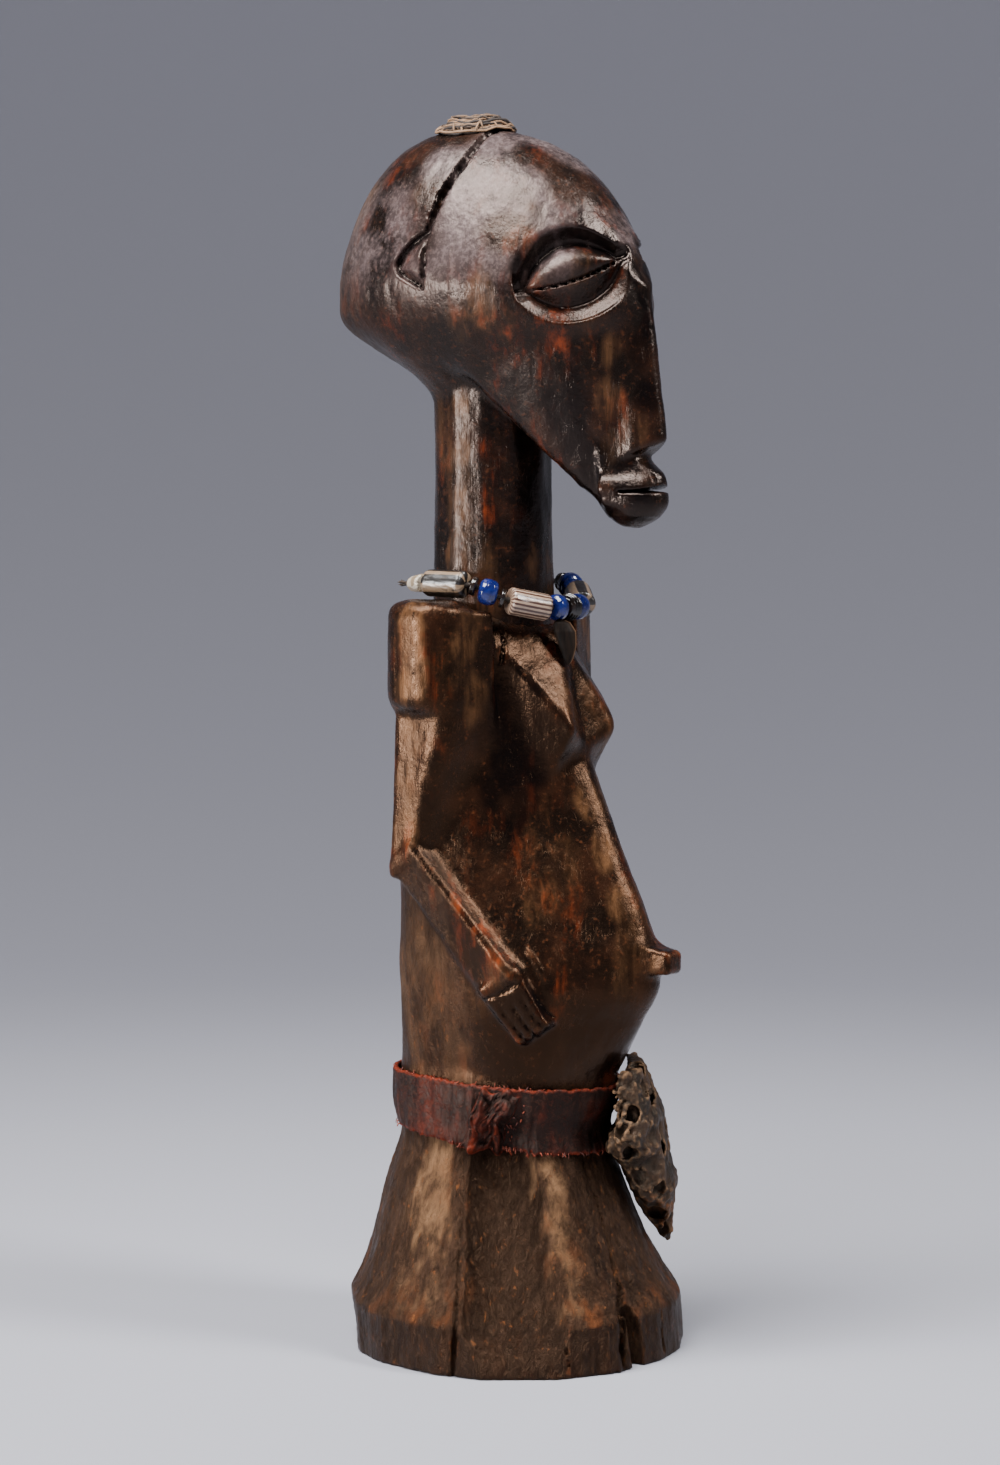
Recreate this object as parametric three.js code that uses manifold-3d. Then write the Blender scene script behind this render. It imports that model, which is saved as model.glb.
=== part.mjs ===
// Carved wooden power figure, standing on its own skirt-shaped base.
// Millimetres, +Z up. The origin is the middle of the underside, and the figure faces -Y.
import * as THREE from 'three';
import { mergeVertices } from 'three/addons/utils/BufferGeometryUtils.js';
import { ConvexGeometry } from 'three/addons/geometries/ConvexGeometry.js';
import Module from 'manifold-3d';

const wasm = await Module();
wasm.setup();

// Driving sizes
const GAP = 0.35;                 // clearance between pieces that touch
const BASE_RADIUS = 57;
const PLINTH_HEIGHT = 15;
const WAIST_RADIUS = 35;
const WAIST_HEIGHT = 84;
const NAVEL_HEIGHT = 136.5;
const NAVEL_REACH = 64;           // how far the navel stands in front of the axis
const SHOULDER_HEIGHT = 257;
const SHOULDER_HALF_WIDTH = 47.5;
const NECK_RADIUS = 20;
const NECK_Y = 11;                // the neck stands behind the middle of the base
const CROWN_Y = 19;
const CROWN_Z = 360;              // height of the head's widest ring
const HEAD_HALF_WIDTH = 39.5;
const HEAD_FRONT = 68;
const HEAD_BACK = 49.5;
const HEAD_UP = 56.5;
const CHIN_HEIGHT = 281.5;
const NOSE_TIP = 58.9;            // in front of the axis, at the height of the nostrils
const NOSE_BASE_HEIGHT = 308.5;
const EYE = [20, -35, 362];
const EYE_TURN = 41;              // degrees that the eye looks outward from straight ahead
const EYE_TILT = 18.4;
const EYE_HALF_LENGTH = 18.6;
const BELT_THICKNESS = 2.2;
const NECKLACE_RADIUS = 30.5;
const CORD_RADIUS = 0.9;
const BEAD_BORE = 1.9;            // radius of the hole through each bead

// Small mathematics
const rad = THREE.MathUtils.degToRad;

function smin(a, b, k) {
  const h = THREE.MathUtils.clamp(0.5 + 0.5 * (b - a) / k, 0, 1);
  return b + (a - b) * h - k * h * (1 - h);
}

function smax(a, b, k) {
  return -smin(-a, -b, k);
}

// A smooth curve through [height, value] stations that never overshoots them.
function curve(z, stations) {
  const n = stations.length;
  const at = THREE.MathUtils.clamp(z, stations[0][0], stations[n - 1][0]);
  let i = 0;
  while (i < n - 2 && at > stations[i + 1][0]) {
    i += 1;
  }
  const slope = (j) => (stations[j + 1][1] - stations[j][1]) / (stations[j + 1][0] - stations[j][0]);
  const tangent = (j) => {
    if (j === 0) {
      return slope(0);
    }
    if (j === n - 1) {
      return slope(n - 2);
    }
    const before = slope(j - 1);
    const after = slope(j);
    return before * after <= 0 ? 0 : 2 * before * after / (before + after);
  };
  const [z0, v0] = stations[i];
  const [z1, v1] = stations[i + 1];
  const h = z1 - z0;
  const t = (at - z0) / h;
  return (2 * t ** 3 - 3 * t ** 2 + 1) * v0 + (t ** 3 - 2 * t ** 2 + t) * h * tangent(i)
    + (3 * t ** 2 - 2 * t ** 3) * v1 + (t ** 3 - t ** 2) * h * tangent(i + 1);
}

// Roughly the distance to an ellipse with half sizes a and b.
function oval(p, q, a, b) {
  const k0 = Math.hypot(p / a, q / b);
  const k1 = Math.hypot(p / a ** 2, q / b ** 2) + 1e-9;
  return k0 * (k0 - 1) / k1;
}

function ellipsoid(x, y, z, a, b, c) {
  const k0 = Math.hypot(x / a, y / b, z / c);
  const k1 = Math.hypot(x / a ** 2, y / b ** 2, z / c ** 2) + 1e-9;
  return k0 * (k0 - 1) / k1;
}

// The skirt: a flared column of broad adze facets above a low plinth band
const SKIRT_RADIUS = [[0, BASE_RADIUS], [PLINTH_HEIGHT, BASE_RADIUS + 0.2], [20, 56], [28, 51.2], [40, 46.2],
  [56, 41.3], [72, WAIST_RADIUS + 1], [WAIST_HEIGHT, WAIST_RADIUS], [96, WAIST_RADIUS + 0.5]];
const SKIRT_Y = [[0, 0], [8, 0.8], [20, 2.3], [28, 3.2], [40, 4.6], [56, 6], [72, 6.8], [90, 6.5]];
const SKIRT_FACETS = 12;

function skirt(x, y, z) {
  const radius = curve(z, SKIRT_RADIUS);
  const middle = curve(z, SKIRT_Y);
  let f = -1e3;
  for (let i = 0; i < SKIRT_FACETS; i += 1) {
    const a = rad(4 + 30.7 * i);
    const inset = 0.6 + 0.6 * Math.sin(2.4 * i + 1);
    f = smax(f, x * Math.cos(a) + (y - middle) * Math.sin(a) - radius + inset, 2);
  }
  return smax(f * 0.85, z - 98, 14);
}

// The torso: a blunt keel in front, flat flanks beside it and a rounded back
const TORSO_FRONT = [[60, -30], [92, -35.5], [101.6, -41], [114.4, -49], [128.5, -56], [137, -55.6],
  [148.4, -51.6], [161.5, -46], [174.6, -40], [188, -34], [201, -28.5], [216, -23], [232, -19], [250, -15]];
const TORSO_BACK = [[60, 37], [92, 37], [104, 35], [118, 33], [150, 31], [180, 32], [210, 33], [250, 32]];
const TORSO_WIDE = [[60, 31], [92, 31], [104, 33.5], [118, 36.5], [140, 39], [165, 39], [185, 38], [250, 38]];
const FLANK_TURN = [[60, 62], [92, 58], [115, 46], [140, 41], [177, 38], [190, 40], [215, 46], [262, 55]];
const KEEL_WIDTH = 7;

function torso(x, y, z) {
  const front = curve(z, TORSO_FRONT);
  const turn = rad(curve(z, FLANK_TURN));
  const keel = Math.hypot(x, KEEL_WIDTH) - KEEL_WIDTH;
  const flank = keel * Math.cos(turn) - (y - front) * Math.sin(turn);
  const side = Math.abs(x) - curve(z, TORSO_WIDE);
  const back = y - curve(z, TORSO_BACK);
  const f = smax(flank, smax(side, back, 22), 14) * 0.85;
  const top = 0.93 * (z - 254) - 0.37 * Math.min(y - 8, 0);
  return smax(smax(f, top, 5), 80 - z, 6);
}

function trunk(x, y, z) {
  return smin(skirt(x, y, z), torso(x, y, z), 5);
}

// The neck: a column with upright facets
const NECK_FACETS = 12;
const NECK_LOW = 244;
const NECK_HIGH = 345;

function neck(x, y, z) {
  let f = -1e3;
  for (let i = 0; i < NECK_FACETS; i += 1) {
    const a = rad(8 + 30.5 * i);
    f = smax(f, x * Math.cos(a) + (y - NECK_Y) * Math.sin(a), 1.2);
  }
  return f - NECK_RADIUS;
}

// The head: an egg-shaped skull over a long wedge of a face
function skull(x, y, z) {
  const up = z - CROWN_Z;
  const narrow = 1 + 0.035 * Math.sin(Math.PI * THREE.MathUtils.clamp(up / 56, 0, 1));
  const across = x * narrow;
  const along = (y - CROWN_Y - 0.025 * Math.max(up, 0)) * narrow;
  const length = along < 0 ? HEAD_FRONT : HEAD_BACK;
  const top = ellipsoid(across, along, Math.max(up, 0), HEAD_HALF_WIDTH, length, HEAD_UP);
  const ring = Math.hypot(across / HEAD_HALF_WIDTH, along / length);
  const underside = (ring - 1.3 - 0.0319 * up) * 30;
  return smax(top, underside, 5);
}

function jaw(x, y, z) {
  const side = 0.95 * (x - 23) - 0.081 * (y + 8) - 0.301 * (z - 328);
  const cheek = 0.788 * (x - 20.7) - 0.616 * (y + 35);
  const besideNose = 0.469 * (x - 5) - 0.883 * (y + 48);
  const underside = 0.666 * (y + 37) - 0.746 * (z - CHIN_HEIGHT - 1);
  const chin = -0.75 * (y + 53.5) - 0.66 * (z - CHIN_HEIGHT - 3);
  let f = smax(side, smax(cheek, besideNose, 3), 5);
  f = smax(f, underside, 5);
  f = smax(f, chin, 4);
  f = smax(f, -(y + 50), 3);
  f = smax(f, CHIN_HEIGHT - z, 4);
  f = smax(f, z - CROWN_Z, 6);
  return smax(f, y - 2, 8);
}

function nose(x, y, z) {
  const front = -(y + NOSE_TIP - 0.135 * (z - 311));
  const half = 3 + THREE.MathUtils.clamp((z - 335) * 0.03, 0, 1.2);
  let f = smax(x - half, front * 0.98, 1.4);
  f = smax(f, -0.9 * (z - NOSE_BASE_HEIGHT) - 0.42 * (y + 57.5), 1.8);
  f = smax(f, z - 374, 6);
  return smax(f, y + 30, 3);
}

// Along the eye, across it and outward from the face
function eyeFrame(x, y, z) {
  const [c, s] = [Math.cos(rad(EYE_TURN)), Math.sin(rad(EYE_TURN))];
  const [ct, st] = [Math.cos(rad(EYE_TILT)), Math.sin(rad(EYE_TILT))];
  const [dx, dy, dz] = [x - EYE[0], y - EYE[1], z - EYE[2] - 2.15];
  const h = dx * s + dy * c + 0.35;
  return [h * ct - dz * st, h * st + dz * ct, dx * c - dy * s];
}

function socket(p, q, n) {
  const upper = q > 0;
  const wall = oval(p + 1.2, q - 0.3, 21.3, upper ? 16.4 : 15.9);
  const slant = upper ? 0.4 : 0.9;
  return smax(-5 + 0.004 * p * p - n, wall + 1 - slant * (n + 1.5), 2);
}

function lids(p, q, n) {
  const ball = ellipsoid(p, q + 0.2, n + 5.8, EYE_HALF_LENGTH, q > -0.2 ? 10.4 : 10.8, 7.4);
  const belowSlit = q + 2.1 * (1 - (p / EYE_HALF_LENGTH) ** 2) < 0;
  return ball + (belowSlit ? 1.1 : 0);
}

function lips(x, y, z) {
  const ring = Math.sqrt(Math.max(0, 1 - (x / 13) ** 2));
  const reach = Math.max(-(y + 43.5 + 15 * ring), (x - 13) * 1.2) * 0.75;
  const forward = -(y + 59);
  let upper = smax(reach, 0.8 * (z - 298 + 0.12 * x) + 0.6 * (forward + 0.5), 1.6);
  upper = smax(upper, 295.4 - 0.1 * x - z, 1);
  let lower = smax(reach + 0.1, 0.83 * (z - 292.3 + 0.1 * x) + 0.55 * (forward - 0.4), 1.4);
  lower = smax(lower, 288.2 - z, 2.5);
  return smax(Math.min(upper, lower), y + 42, 2);
}

function head(x, y, z) {
  const ax = Math.abs(x);
  const [p, q, n] = eyeFrame(ax, y, z);
  let f = smin(skull(ax, y, z), jaw(ax, y, z), 5);
  f = smin(f, nose(ax, y, z), 2.2);
  f = smax(f, -socket(p, q, n), 0.8);
  f = smin(f, lids(p, q, n), 1);
  return smin(f, lips(ax, y, z), 1.6);
}

// Heights or angles from a first value through [end, number of steps] spans
function steps(first, ...spans) {
  const out = [first];
  for (const [end, count] of spans) {
    const start = out[out.length - 1];
    for (let i = 1; i <= count; i += 1) {
      out.push(start + (end - start) * i / count);
    }
  }
  return out;
}

// Angles round a ring from the front, closer together where the front needs it
function bothSides(half) {
  const other = half.slice(1, -1).map((a) => 360 - a).reverse();
  return [...half, ...other];
}

// The distance from a middle at which a ray coming inward meets the field's surface
function reachOf(field, cx, cy, z, angle, start) {
  const [dx, dy] = [Math.sin(rad(angle)), -Math.cos(rad(angle))];
  let r = start;
  let step = 0;
  while (r > 0.4) {
    const d = field(cx + dx * r, cy + dy * r, z);
    if (d < 0) {
      break;
    }
    step = Math.max(d * 0.7, 0.1);
    r -= step;
  }
  let [inside, outside] = [r, r + step];
  for (let i = 0; i < 18; i += 1) {
    const middle = (inside + outside) / 2;
    if (field(cx + dx * middle, cy + dy * middle, z) < 0) {
      inside = middle;
    } else {
      outside = middle;
    }
  }
  return Math.max(outside, 0.5);
}

// A closed body of rings: place(level, angle) gives each ring point and middle(level) the cap centres.
function rings(levelCount, angleCount, place, middle) {
  const g = new THREE.CylinderGeometry(1, 1, 1, angleCount, levelCount - 1);
  const p = g.attributes.position;
  for (let i = 0; i < p.count; i += 1) {
    const level = Math.round((p.getY(i) + 0.5) * (levelCount - 1));
    const turn = (Math.atan2(p.getX(i), p.getZ(i)) / (2 * Math.PI) + 1) % 1;
    const atAxis = Math.hypot(p.getX(i), p.getZ(i)) < 0.5;
    const [x, y, z] = atAxis ? middle(level) : place(level, Math.round(turn * angleCount) % angleCount);
    p.setXYZ(i, x, y, z);
  }
  mirrorDiagonals(g, angleCount, levelCount - 1);
  return g;
}

// Turns the diagonals of the second half of the columns, so that both sides match.
function mirrorDiagonals(g, columns, rows) {
  const index = g.index.array;
  for (let quad = Math.floor(columns / 2) * rows; quad < columns * rows; quad += 1) {
    const [a, b, d, , c] = index.slice(quad * 6, quad * 6 + 5);
    index.set([a, b, c, a, c, d], quad * 6);
  }
}

function loft(field, levels, angles, middleY, start) {
  const centre = (level) => [0, middleY(levels[level]), levels[level]];
  return rings(levels.length, angles.length, (level, i) => {
    const z = levels[level];
    const cy = middleY(z);
    const r = reachOf(field, 0, cy, z, angles[i], start);
    return [r * Math.sin(rad(angles[i])), cy - r * Math.cos(rad(angles[i])), z];
  }, centre);
}

// Joining and cutting
function solid(geometry) {
  const g = geometry.clone();
  for (const name of ['normal', 'uv']) {
    g.deleteAttribute(name);
  }
  const m = mergeVertices(g, 1e-4);
  const index = Array.from(m.index.array);
  const kept = [];
  for (let i = 0; i < index.length; i += 3) {
    const [a, b, c] = index.slice(i, i + 3);
    if (a !== b && b !== c && c !== a) {
      kept.push(a, b, c);
    }
  }
  return new wasm.Manifold(new wasm.Mesh({
    numProp: 3,
    vertProperties: Float32Array.from(m.attributes.position.array),
    triVerts: Uint32Array.from(kept),
  }));
}

function geometryOf(manifold) {
  const mesh = manifold.getMesh();
  const g = new THREE.BufferGeometry();
  g.setAttribute('position', new THREE.BufferAttribute(mesh.vertProperties, 3));
  g.setIndex(new THREE.BufferAttribute(mesh.triVerts, 1));
  g.computeVertexNormals();
  return g;
}

function hull(points) {
  return new ConvexGeometry(points.map((p) => new THREE.Vector3(...p)));
}

// Corners of a chamfered rectangle round a point, in the plane of two unit directions
function chamferedRing(at, across, halfAcross, up, halfUp, chamfer) {
  const out = [];
  for (const [a, b] of [[1, 1], [1, -1], [-1, 1], [-1, -1]]) {
    for (const [ca, cb] of [[0, chamfer], [chamfer, 0]]) {
      out.push(at.clone().addScaledVector(across, a * (halfAcross - ca)).addScaledVector(up, b * (halfUp - cb)));
    }
  }
  return out.map((p) => p.toArray());
}

// A tapered bar from one point to another: sections hold [share of the way, half width, half height].
function bar(from, to, sections, chamfer) {
  const [a, b] = [new THREE.Vector3(...from), new THREE.Vector3(...to)];
  const along = b.clone().sub(a).normalize();
  const across = new THREE.Vector3().crossVectors(along, new THREE.Vector3(0, 0, 1)).normalize();
  const up = new THREE.Vector3().crossVectors(across, along);
  const points = [];
  for (const [share, width, height] of sections) {
    points.push(...chamferedRing(a.clone().lerp(b, share), across, width, up, height, chamfer));
  }
  return hull(points);
}

// The limbs, on the side where x has the sign given
const ARM_FRONT = [[160, 12.5], [177, 8.4], [195, 4], [212, -0.4], [225, -1.4], [250, -0.6]];
const ELBOW = [40, 17, 171];
const WRIST = [34.1, -17.6, 130.5];
const FINGERTIPS = [29, -29, 111];
const BREAST_TIP = [13.6, -32.3, 213.5];

function upperArm(side) {
  const section = (z) => {
    const t = (212 - z) / 35;
    const outer = 44 + t;
    const front = curve(z, ARM_FRONT);
    return [[outer, 20.7 + 1.3 * t], [outer, front + 3.4], [outer - 3.2, front - 0.3],
      [24, front - 6.4], [24, 20.7 + 1.3 * t]].map(([x, y]) => [side * x, y, z]);
  };
  const parts = steps(168, [250, 5]).map(section);
  parts[0] = parts[0].map(([x, y]) => [x, y, y > 18 ? 168 : 162]);
  const pieces = [];
  for (let i = 1; i < parts.length; i += 1) {
    pieces.push(solid(hull([...parts[i - 1], ...parts[i]])));
  }
  return pieces.reduce((a, b) => a.add(b));
}

function shoulder(side) {
  const middle = new THREE.Vector3(side * (SHOULDER_HALF_WIDTH - 9.2), 11.2, 0);
  const [across, along] = [new THREE.Vector3(1, 0, 0), new THREE.Vector3(0, 1, 0)];
  const points = [];
  for (const [z, inset] of [[SHOULDER_HEIGHT, 3], [SHOULDER_HEIGHT - 3, 0], [223.5, 0], [220.5, 3]]) {
    const at = middle.clone().setZ(z);
    points.push(...chamferedRing(at, across, 9.2 - inset, along, 13.4 - inset, 3.2 - inset / 3));
  }
  return solid(hull(points));
}

function forearm(side) {
  const at = ([x, y, z]) => [side * x, y, z];
  return solid(bar(at(ELBOW), at(WRIST), [[-0.08, 6, 7], [0, 6, 7.7], [1, 5.5, 8.2]], 1.6));
}

function hand(side) {
  const at = ([x, y, z]) => [side * x, y, z];
  let palm = solid(bar(at(WRIST), at(FINGERTIPS), [[0.04, 5, 8.4], [0.9, 4.2, 7.2], [1, 3.2, 6.4]], 1.2));
  const [a, b] = [new THREE.Vector3(...at(WRIST)), new THREE.Vector3(...at(FINGERTIPS))];
  const along = b.clone().sub(a).normalize();
  const across = new THREE.Vector3().crossVectors(along, new THREE.Vector3(0, 0, 1)).normalize();
  if (across.x * side < 0) {
    across.negate();
  }
  const up = new THREE.Vector3().crossVectors(along, across);
  const turn = new THREE.Matrix4().makeBasis(along, across, up);
  for (const row of [-1, 0, 1]) {
    const place = a.clone().lerp(b, 0.8).addScaledVector(across, 4.9).addScaledVector(up, row * 3.5);
    const groove = new THREE.BoxGeometry(14, 2.4, 1);
    groove.applyMatrix4(turn).translate(...place.toArray());
    palm = palm.subtract(solid(groove));
  }
  return palm;
}

function breast(side) {
  const [tx, ty, tz] = BREAST_TIP;
  const points = [[tx, ty + 0.8, tz], [tx - 2, ty + 1.4, tz - 0.5], [tx + 1.2, ty + 2, tz + 1.5],
    [21.5, -5, 244], [3, -17.5, 246], [21.5, 5, 240], [3, 5, 240], [22, -8, 226],
    [tx + 4, -21, 208], [tx + 1.5, -14, 200], [tx - 8, -20, 203]];
  return solid(hull(points.map(([x, y, z]) => [side * x, y, z])));
}

function navel() {
  const tip = [0, -NAVEL_REACH + 0.6, NAVEL_HEIGHT - 0.6];
  return solid(bar([0, -48, NAVEL_HEIGHT + 0.6], tip, [[0, 6, 5.2], [0.9, 4.6, 4], [1, 3.8, 3.2]], 1.2));
}

// The ear: a leaf-shaped hollow cut slanting into the side of the skull
function earCut(side) {
  const leaf = new THREE.SphereGeometry(1, 10, 8);
  leaf.scale(3.4, 6.6, 9.6).rotateZ(rad(side * 14)).translate(side * (HEAD_HALF_WIDTH + 0.6), CROWN_Y - 1, 372);
  return solid(leaf);
}

const TRUNK_ANGLES = bothSides(steps(0, [30, 4], [60, 3], [90, 3], [180, 8]));

function trunkMiddle(z) {
  return curve(z, [[0, 0], [60, 5], [130, -4], [200, 4], [256, 8]]);
}

const TRUNK_LEVELS = steps(0, [PLINTH_HEIGHT, 1], [28, 2], [60, 3], [98, 5], [140, 5], [200, 5], [246, 4], [256, 3]);

// A point on the trunk's flat facets, moved outward by an offset
function trunkPoint(angle, z, offset) {
  const above = Math.max(1, TRUNK_LEVELS.findIndex((level) => level >= z));
  const [low, high] = [TRUNK_LEVELS[above - 1], TRUNK_LEVELS[above]];
  const [a, b] = [low, high].map((level) => {
    const r = reachOf(trunk, 0, trunkMiddle(level), level, angle, 90) + offset;
    return new THREE.Vector3(r * Math.sin(rad(angle)), trunkMiddle(level) - r * Math.cos(rad(angle)), level);
  });
  return a.lerp(b, (z - low) / (high - low)).toArray();
}

function carvedFigure() {
  let body = solid(loft(trunk, TRUNK_LEVELS, TRUNK_ANGLES, trunkMiddle, 90));
  const column = loft(neck, steps(NECK_LOW, [NECK_HIGH, 1]), steps(0, [345, 23]), () => NECK_Y, 40);
  body = body.add(solid(column));
  const headLevels = steps(CHIN_HEIGHT + 1.2, [286, 2], [302, 9], [312, 4], [344, 4], [382, 12],
    [404, 4], [412.5, 2], [415.8, 1]);
  const headAngles = bothSides(steps(0, [6, 2], [44, 10], [66, 2], [180, 7]));
  const headMiddle = (z) => curve(z, [[280, -42], [300, -38], [330, -18], [350, 2], [370, 12], [416, 20]]);
  body = body.add(solid(loft(head, headLevels, headAngles, headMiddle, 90)));
  for (const side of [-1, 1]) {
    for (const piece of [shoulder, upperArm, forearm, hand, breast]) {
      body = body.add(piece(side));
    }
    body = body.subtract(earCut(side));
  }
  return geometryOf(body.add(navel()));
}

// The fibre packing on the crown, a shallow pad whose underside follows the skull
const PACKING_RADIUS = 14.8;

function skullTop(x, y) {
  let [low, high] = [CROWN_Z, CROWN_Z + 70];
  for (let i = 0; i < 24; i += 1) {
    const middle = (low + high) / 2;
    if (skull(Math.abs(x), y, middle) < 0) {
      low = middle;
    } else {
      high = middle;
    }
  }
  return high;
}

function crownPacking() {
  const section = [[7, GAP + 0.15], [PACKING_RADIUS - 1, GAP], [PACKING_RADIUS, 1.6], [PACKING_RADIUS - 1.4, 3.4], [8, 5]];
  const sides = 18;
  const spot = (radius, lift, angle) => {
    const [x, y] = [radius * Math.sin(rad(angle)), CROWN_Y - 1 - radius * Math.cos(rad(angle))];
    return [x, y, skullTop(x, y) + lift];
  };
  return rings(section.length, sides, (level, i) => {
    const [radius, lift] = section[level];
    return spot(radius, lift, i * 360 / sides);
  }, (level) => spot(0, level === 0 ? GAP + 0.2 : 4.2, 0));
}

// The leather belt: a band that follows the waist, lower in front, with a folded patch on one side
const PATCH_ANGLE = 296;

function beltHeight(angle, share) {
  const forward = (1 + Math.cos(rad(angle - 30))) / 2;
  const [low, high] = [77 - 9 * forward, 96 - 4.5 * forward];
  return low + share * (high - low);
}

function belt() {
  const count = TRUNK_ANGLES.length;
  const [inner, outer] = [2 * GAP, 2 * GAP + BELT_THICKNESS];
  const profile = [[outer, 0], [outer, 0.5], [outer, 1], [inner, 1], [inner, 0.6], [inner, 0], [outer, 0]];
  const outline = profile.map(([offset, share]) => new THREE.Vector2(10 + offset, share));
  const g = new THREE.LatheGeometry(outline, count);
  const p = g.attributes.position;
  for (let i = 0; i < p.count; i += 1) {
    const [offset, share] = profile[i % profile.length];
    const angle = TRUNK_ANGLES[Math.floor(i / profile.length) % count];
    p.setXYZ(i, ...trunkPoint(angle, beltHeight(angle, share), offset));
  }
  const patch = [];
  for (const [turn, share] of [[-6, -0.12], [6, 0.05], [-6, 0.95], [6, 1.02], [9, 0.5]]) {
    const angle = PATCH_ANGLE + turn;
    for (const offset of [inner + 0.8, outer + 1.8]) {
      patch.push(trunkPoint(angle, beltHeight(angle, share), offset));
    }
  }
  return geometryOf(solid(g).add(solid(hull(patch))));
}

// The hide pendant: a flattened pod that hangs from the belt and lies along the skirt
const PENDANT_ANGLE = 52;
const PENDANT_TOP = 99;
const PENDANT_BOTTOM = 31;
const PENDANT_THICKNESS = 11;
const PENDANT_HALF_TURN = 15;     // degrees round the skirt

function hidePendant() {
  const g = new THREE.SphereGeometry(1, 12, 10);
  const p = g.attributes.position;
  for (let i = 0; i < p.count; i += 1) {
    const share = (1 - p.getY(i)) / 2;
    const z = PENDANT_TOP + (PENDANT_BOTTOM - PENDANT_TOP) * share;
    const fullness = curve(share, [[0, 0.55], [0.25, 0.8], [0.6, 1], [0.85, 0.7], [1, 0.35]]);
    const overBelt = curve(z, [[58, 0], [66, BELT_THICKNESS + 1], [99, BELT_THICKNESS + 1]]);
    const thickness = PENDANT_THICKNESS * fullness * (1 + p.getZ(i)) / 2;
    const angle = PENDANT_ANGLE + PENDANT_HALF_TURN * fullness * p.getX(i) + 4 * share;
    p.setXYZ(i, ...trunkPoint(angle, z, GAP + 0.3 + overBelt + thickness));
  }
  return g;
}

// The necklace: a loop of cord round the neck, resting on the shoulders
const LOOP_HEIGHT = [[0, 262.1], [35, 261], [90, 259], [145, 261.5], [170, 262.1], [200, 261.6], [211, 259.6],
  [220, 257.4], [253, 253.9], [287, 253.9], [320, 257.4], [329, 259.6], [340, 261.6], [360, 262.1]];

function loopPoint(turn) {
  const angle = (turn % 360 + 360) % 360;
  const r = NECKLACE_RADIUS - 7 * Math.exp(-(((angle - 90) / 45) ** 2));
  return new THREE.Vector3(r * Math.cos(rad(angle)), NECK_Y + r * Math.sin(rad(angle)), curve(angle, LOOP_HEIGHT));
}

function necklaceCord() {
  const [around, along] = [5, 48];
  const g = new THREE.TorusGeometry(10, 1, around, along);
  const p = g.attributes.position;
  for (let i = 0; i < p.count; i += 1) {
    const turn = THREE.MathUtils.radToDeg(Math.atan2(p.getY(i), p.getX(i)));
    const outward = new THREE.Vector3(Math.cos(rad(turn)), Math.sin(rad(turn)), 0);
    const bulge = Math.hypot(p.getX(i), p.getY(i)) - 10;
    const at = loopPoint(turn).addScaledVector(outward, bulge * CORD_RADIUS);
    p.setXYZ(i, at.x, at.y, at.z + p.getZ(i) * CORD_RADIUS);
  }
  return g;
}

// A bead strung between two angles of the loop: shape holds [share of the length, radius].
function bead(from, to, shape) {
  const [a, b, top] = [loopPoint(from), loopPoint(to), loopPoint((from + to) / 2)];
  const middle = a.clone().add(b).multiplyScalar(0.5).lerp(top, 0.5);
  const length = a.distanceTo(b) - GAP;
  const outline = [[0, BEAD_BORE], ...shape, [1, BEAD_BORE], [0, BEAD_BORE]];
  const profile = outline.map(([share, radius]) => new THREE.Vector2(radius, (share - 0.5) * length));
  const g = new THREE.LatheGeometry(profile, 10);
  const turn = new THREE.Quaternion().setFromUnitVectors(new THREE.Vector3(0, 1, 0), b.sub(a).normalize());
  g.applyQuaternion(turn).translate(...middle.toArray());
  return g;
}

const TUBE = [[0, 3.6], [0.06, 4.6], [0.94, 4.6], [1, 3.6]];
const ROUND = [[0, 3.2], [0.25, 4.4], [0.75, 4.4], [1, 3.2]];
const DISC = [[0, 3.3], [1, 3.3]];
const BONE = [[0, 3.6], [0.5, 4], [1, 3.4]];
const COIL = [[0, 3.6], [0.5, 4.6], [1, 3.6]];

// The horn that hangs from the loop in front of the chest
const HORN_TIP = [-3.4, -24.5, 234.5];

function hornPendant() {
  const levels = [[0, 1.8, 3], [0.25, 2.6, 4.2], [0.6, 2, 3], [0.88, 1, 1.6], [1, 0.4, 0.5]];
  const top = loopPoint(266).add(new THREE.Vector3(0, -2.5, -5.4));
  const tip = new THREE.Vector3(...HORN_TIP);
  return rings(levels.length, 8, (level, i) => {
    const [share, depth, width] = levels[levels.length - 1 - level];
    const at = top.clone().lerp(tip, share);
    const a = i * Math.PI / 4;
    return [at.x + width * Math.sin(a), at.y - depth * Math.cos(a) - 2 * share * (1 - share), at.z];
  }, (level) => (level === 0 ? tip : top).toArray());
}

const group = new THREE.Group();

function piece(name, geometry, colour, roughness) {
  const material = new THREE.MeshStandardMaterial({ color: colour, roughness, metalness: 0 });
  const mesh = new THREE.Mesh(geometry, material);
  mesh.name = name;
  group.add(mesh);
}

piece('figure', carvedFigure(), 0x3a2418, 0.42);
piece('crown_packing', crownPacking(), 0x9a744c, 0.9);
piece('belt', belt(), 0x4a1d12, 0.7);
piece('hide_pendant', hidePendant(), 0x33261a, 0.85);
piece('necklace_cord', necklaceCord(), 0x1c1510, 0.9);
piece('bone_bead', bead(146, 165, BONE), 0xb9a488, 0.7);
piece('striped_bead_1', bead(168.2, 199, TUBE), 0x6f6258, 0.4);
piece('disc_bead_1', bead(201.2, 205.4, DISC), 0x18120e, 0.5);
piece('blue_bead_1', bead(206.6, 218, ROUND), 0x18245e, 0.25);
piece('disc_bead_2', bead(219.2, 222.6, DISC), 0x18120e, 0.5);
piece('striped_bead_2', bead(224.6, 252.6, TUBE), 0x7a5a48, 0.4);
piece('blue_bead_2', bead(255.2, 265.4, ROUND), 0x18245e, 0.25);
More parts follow.
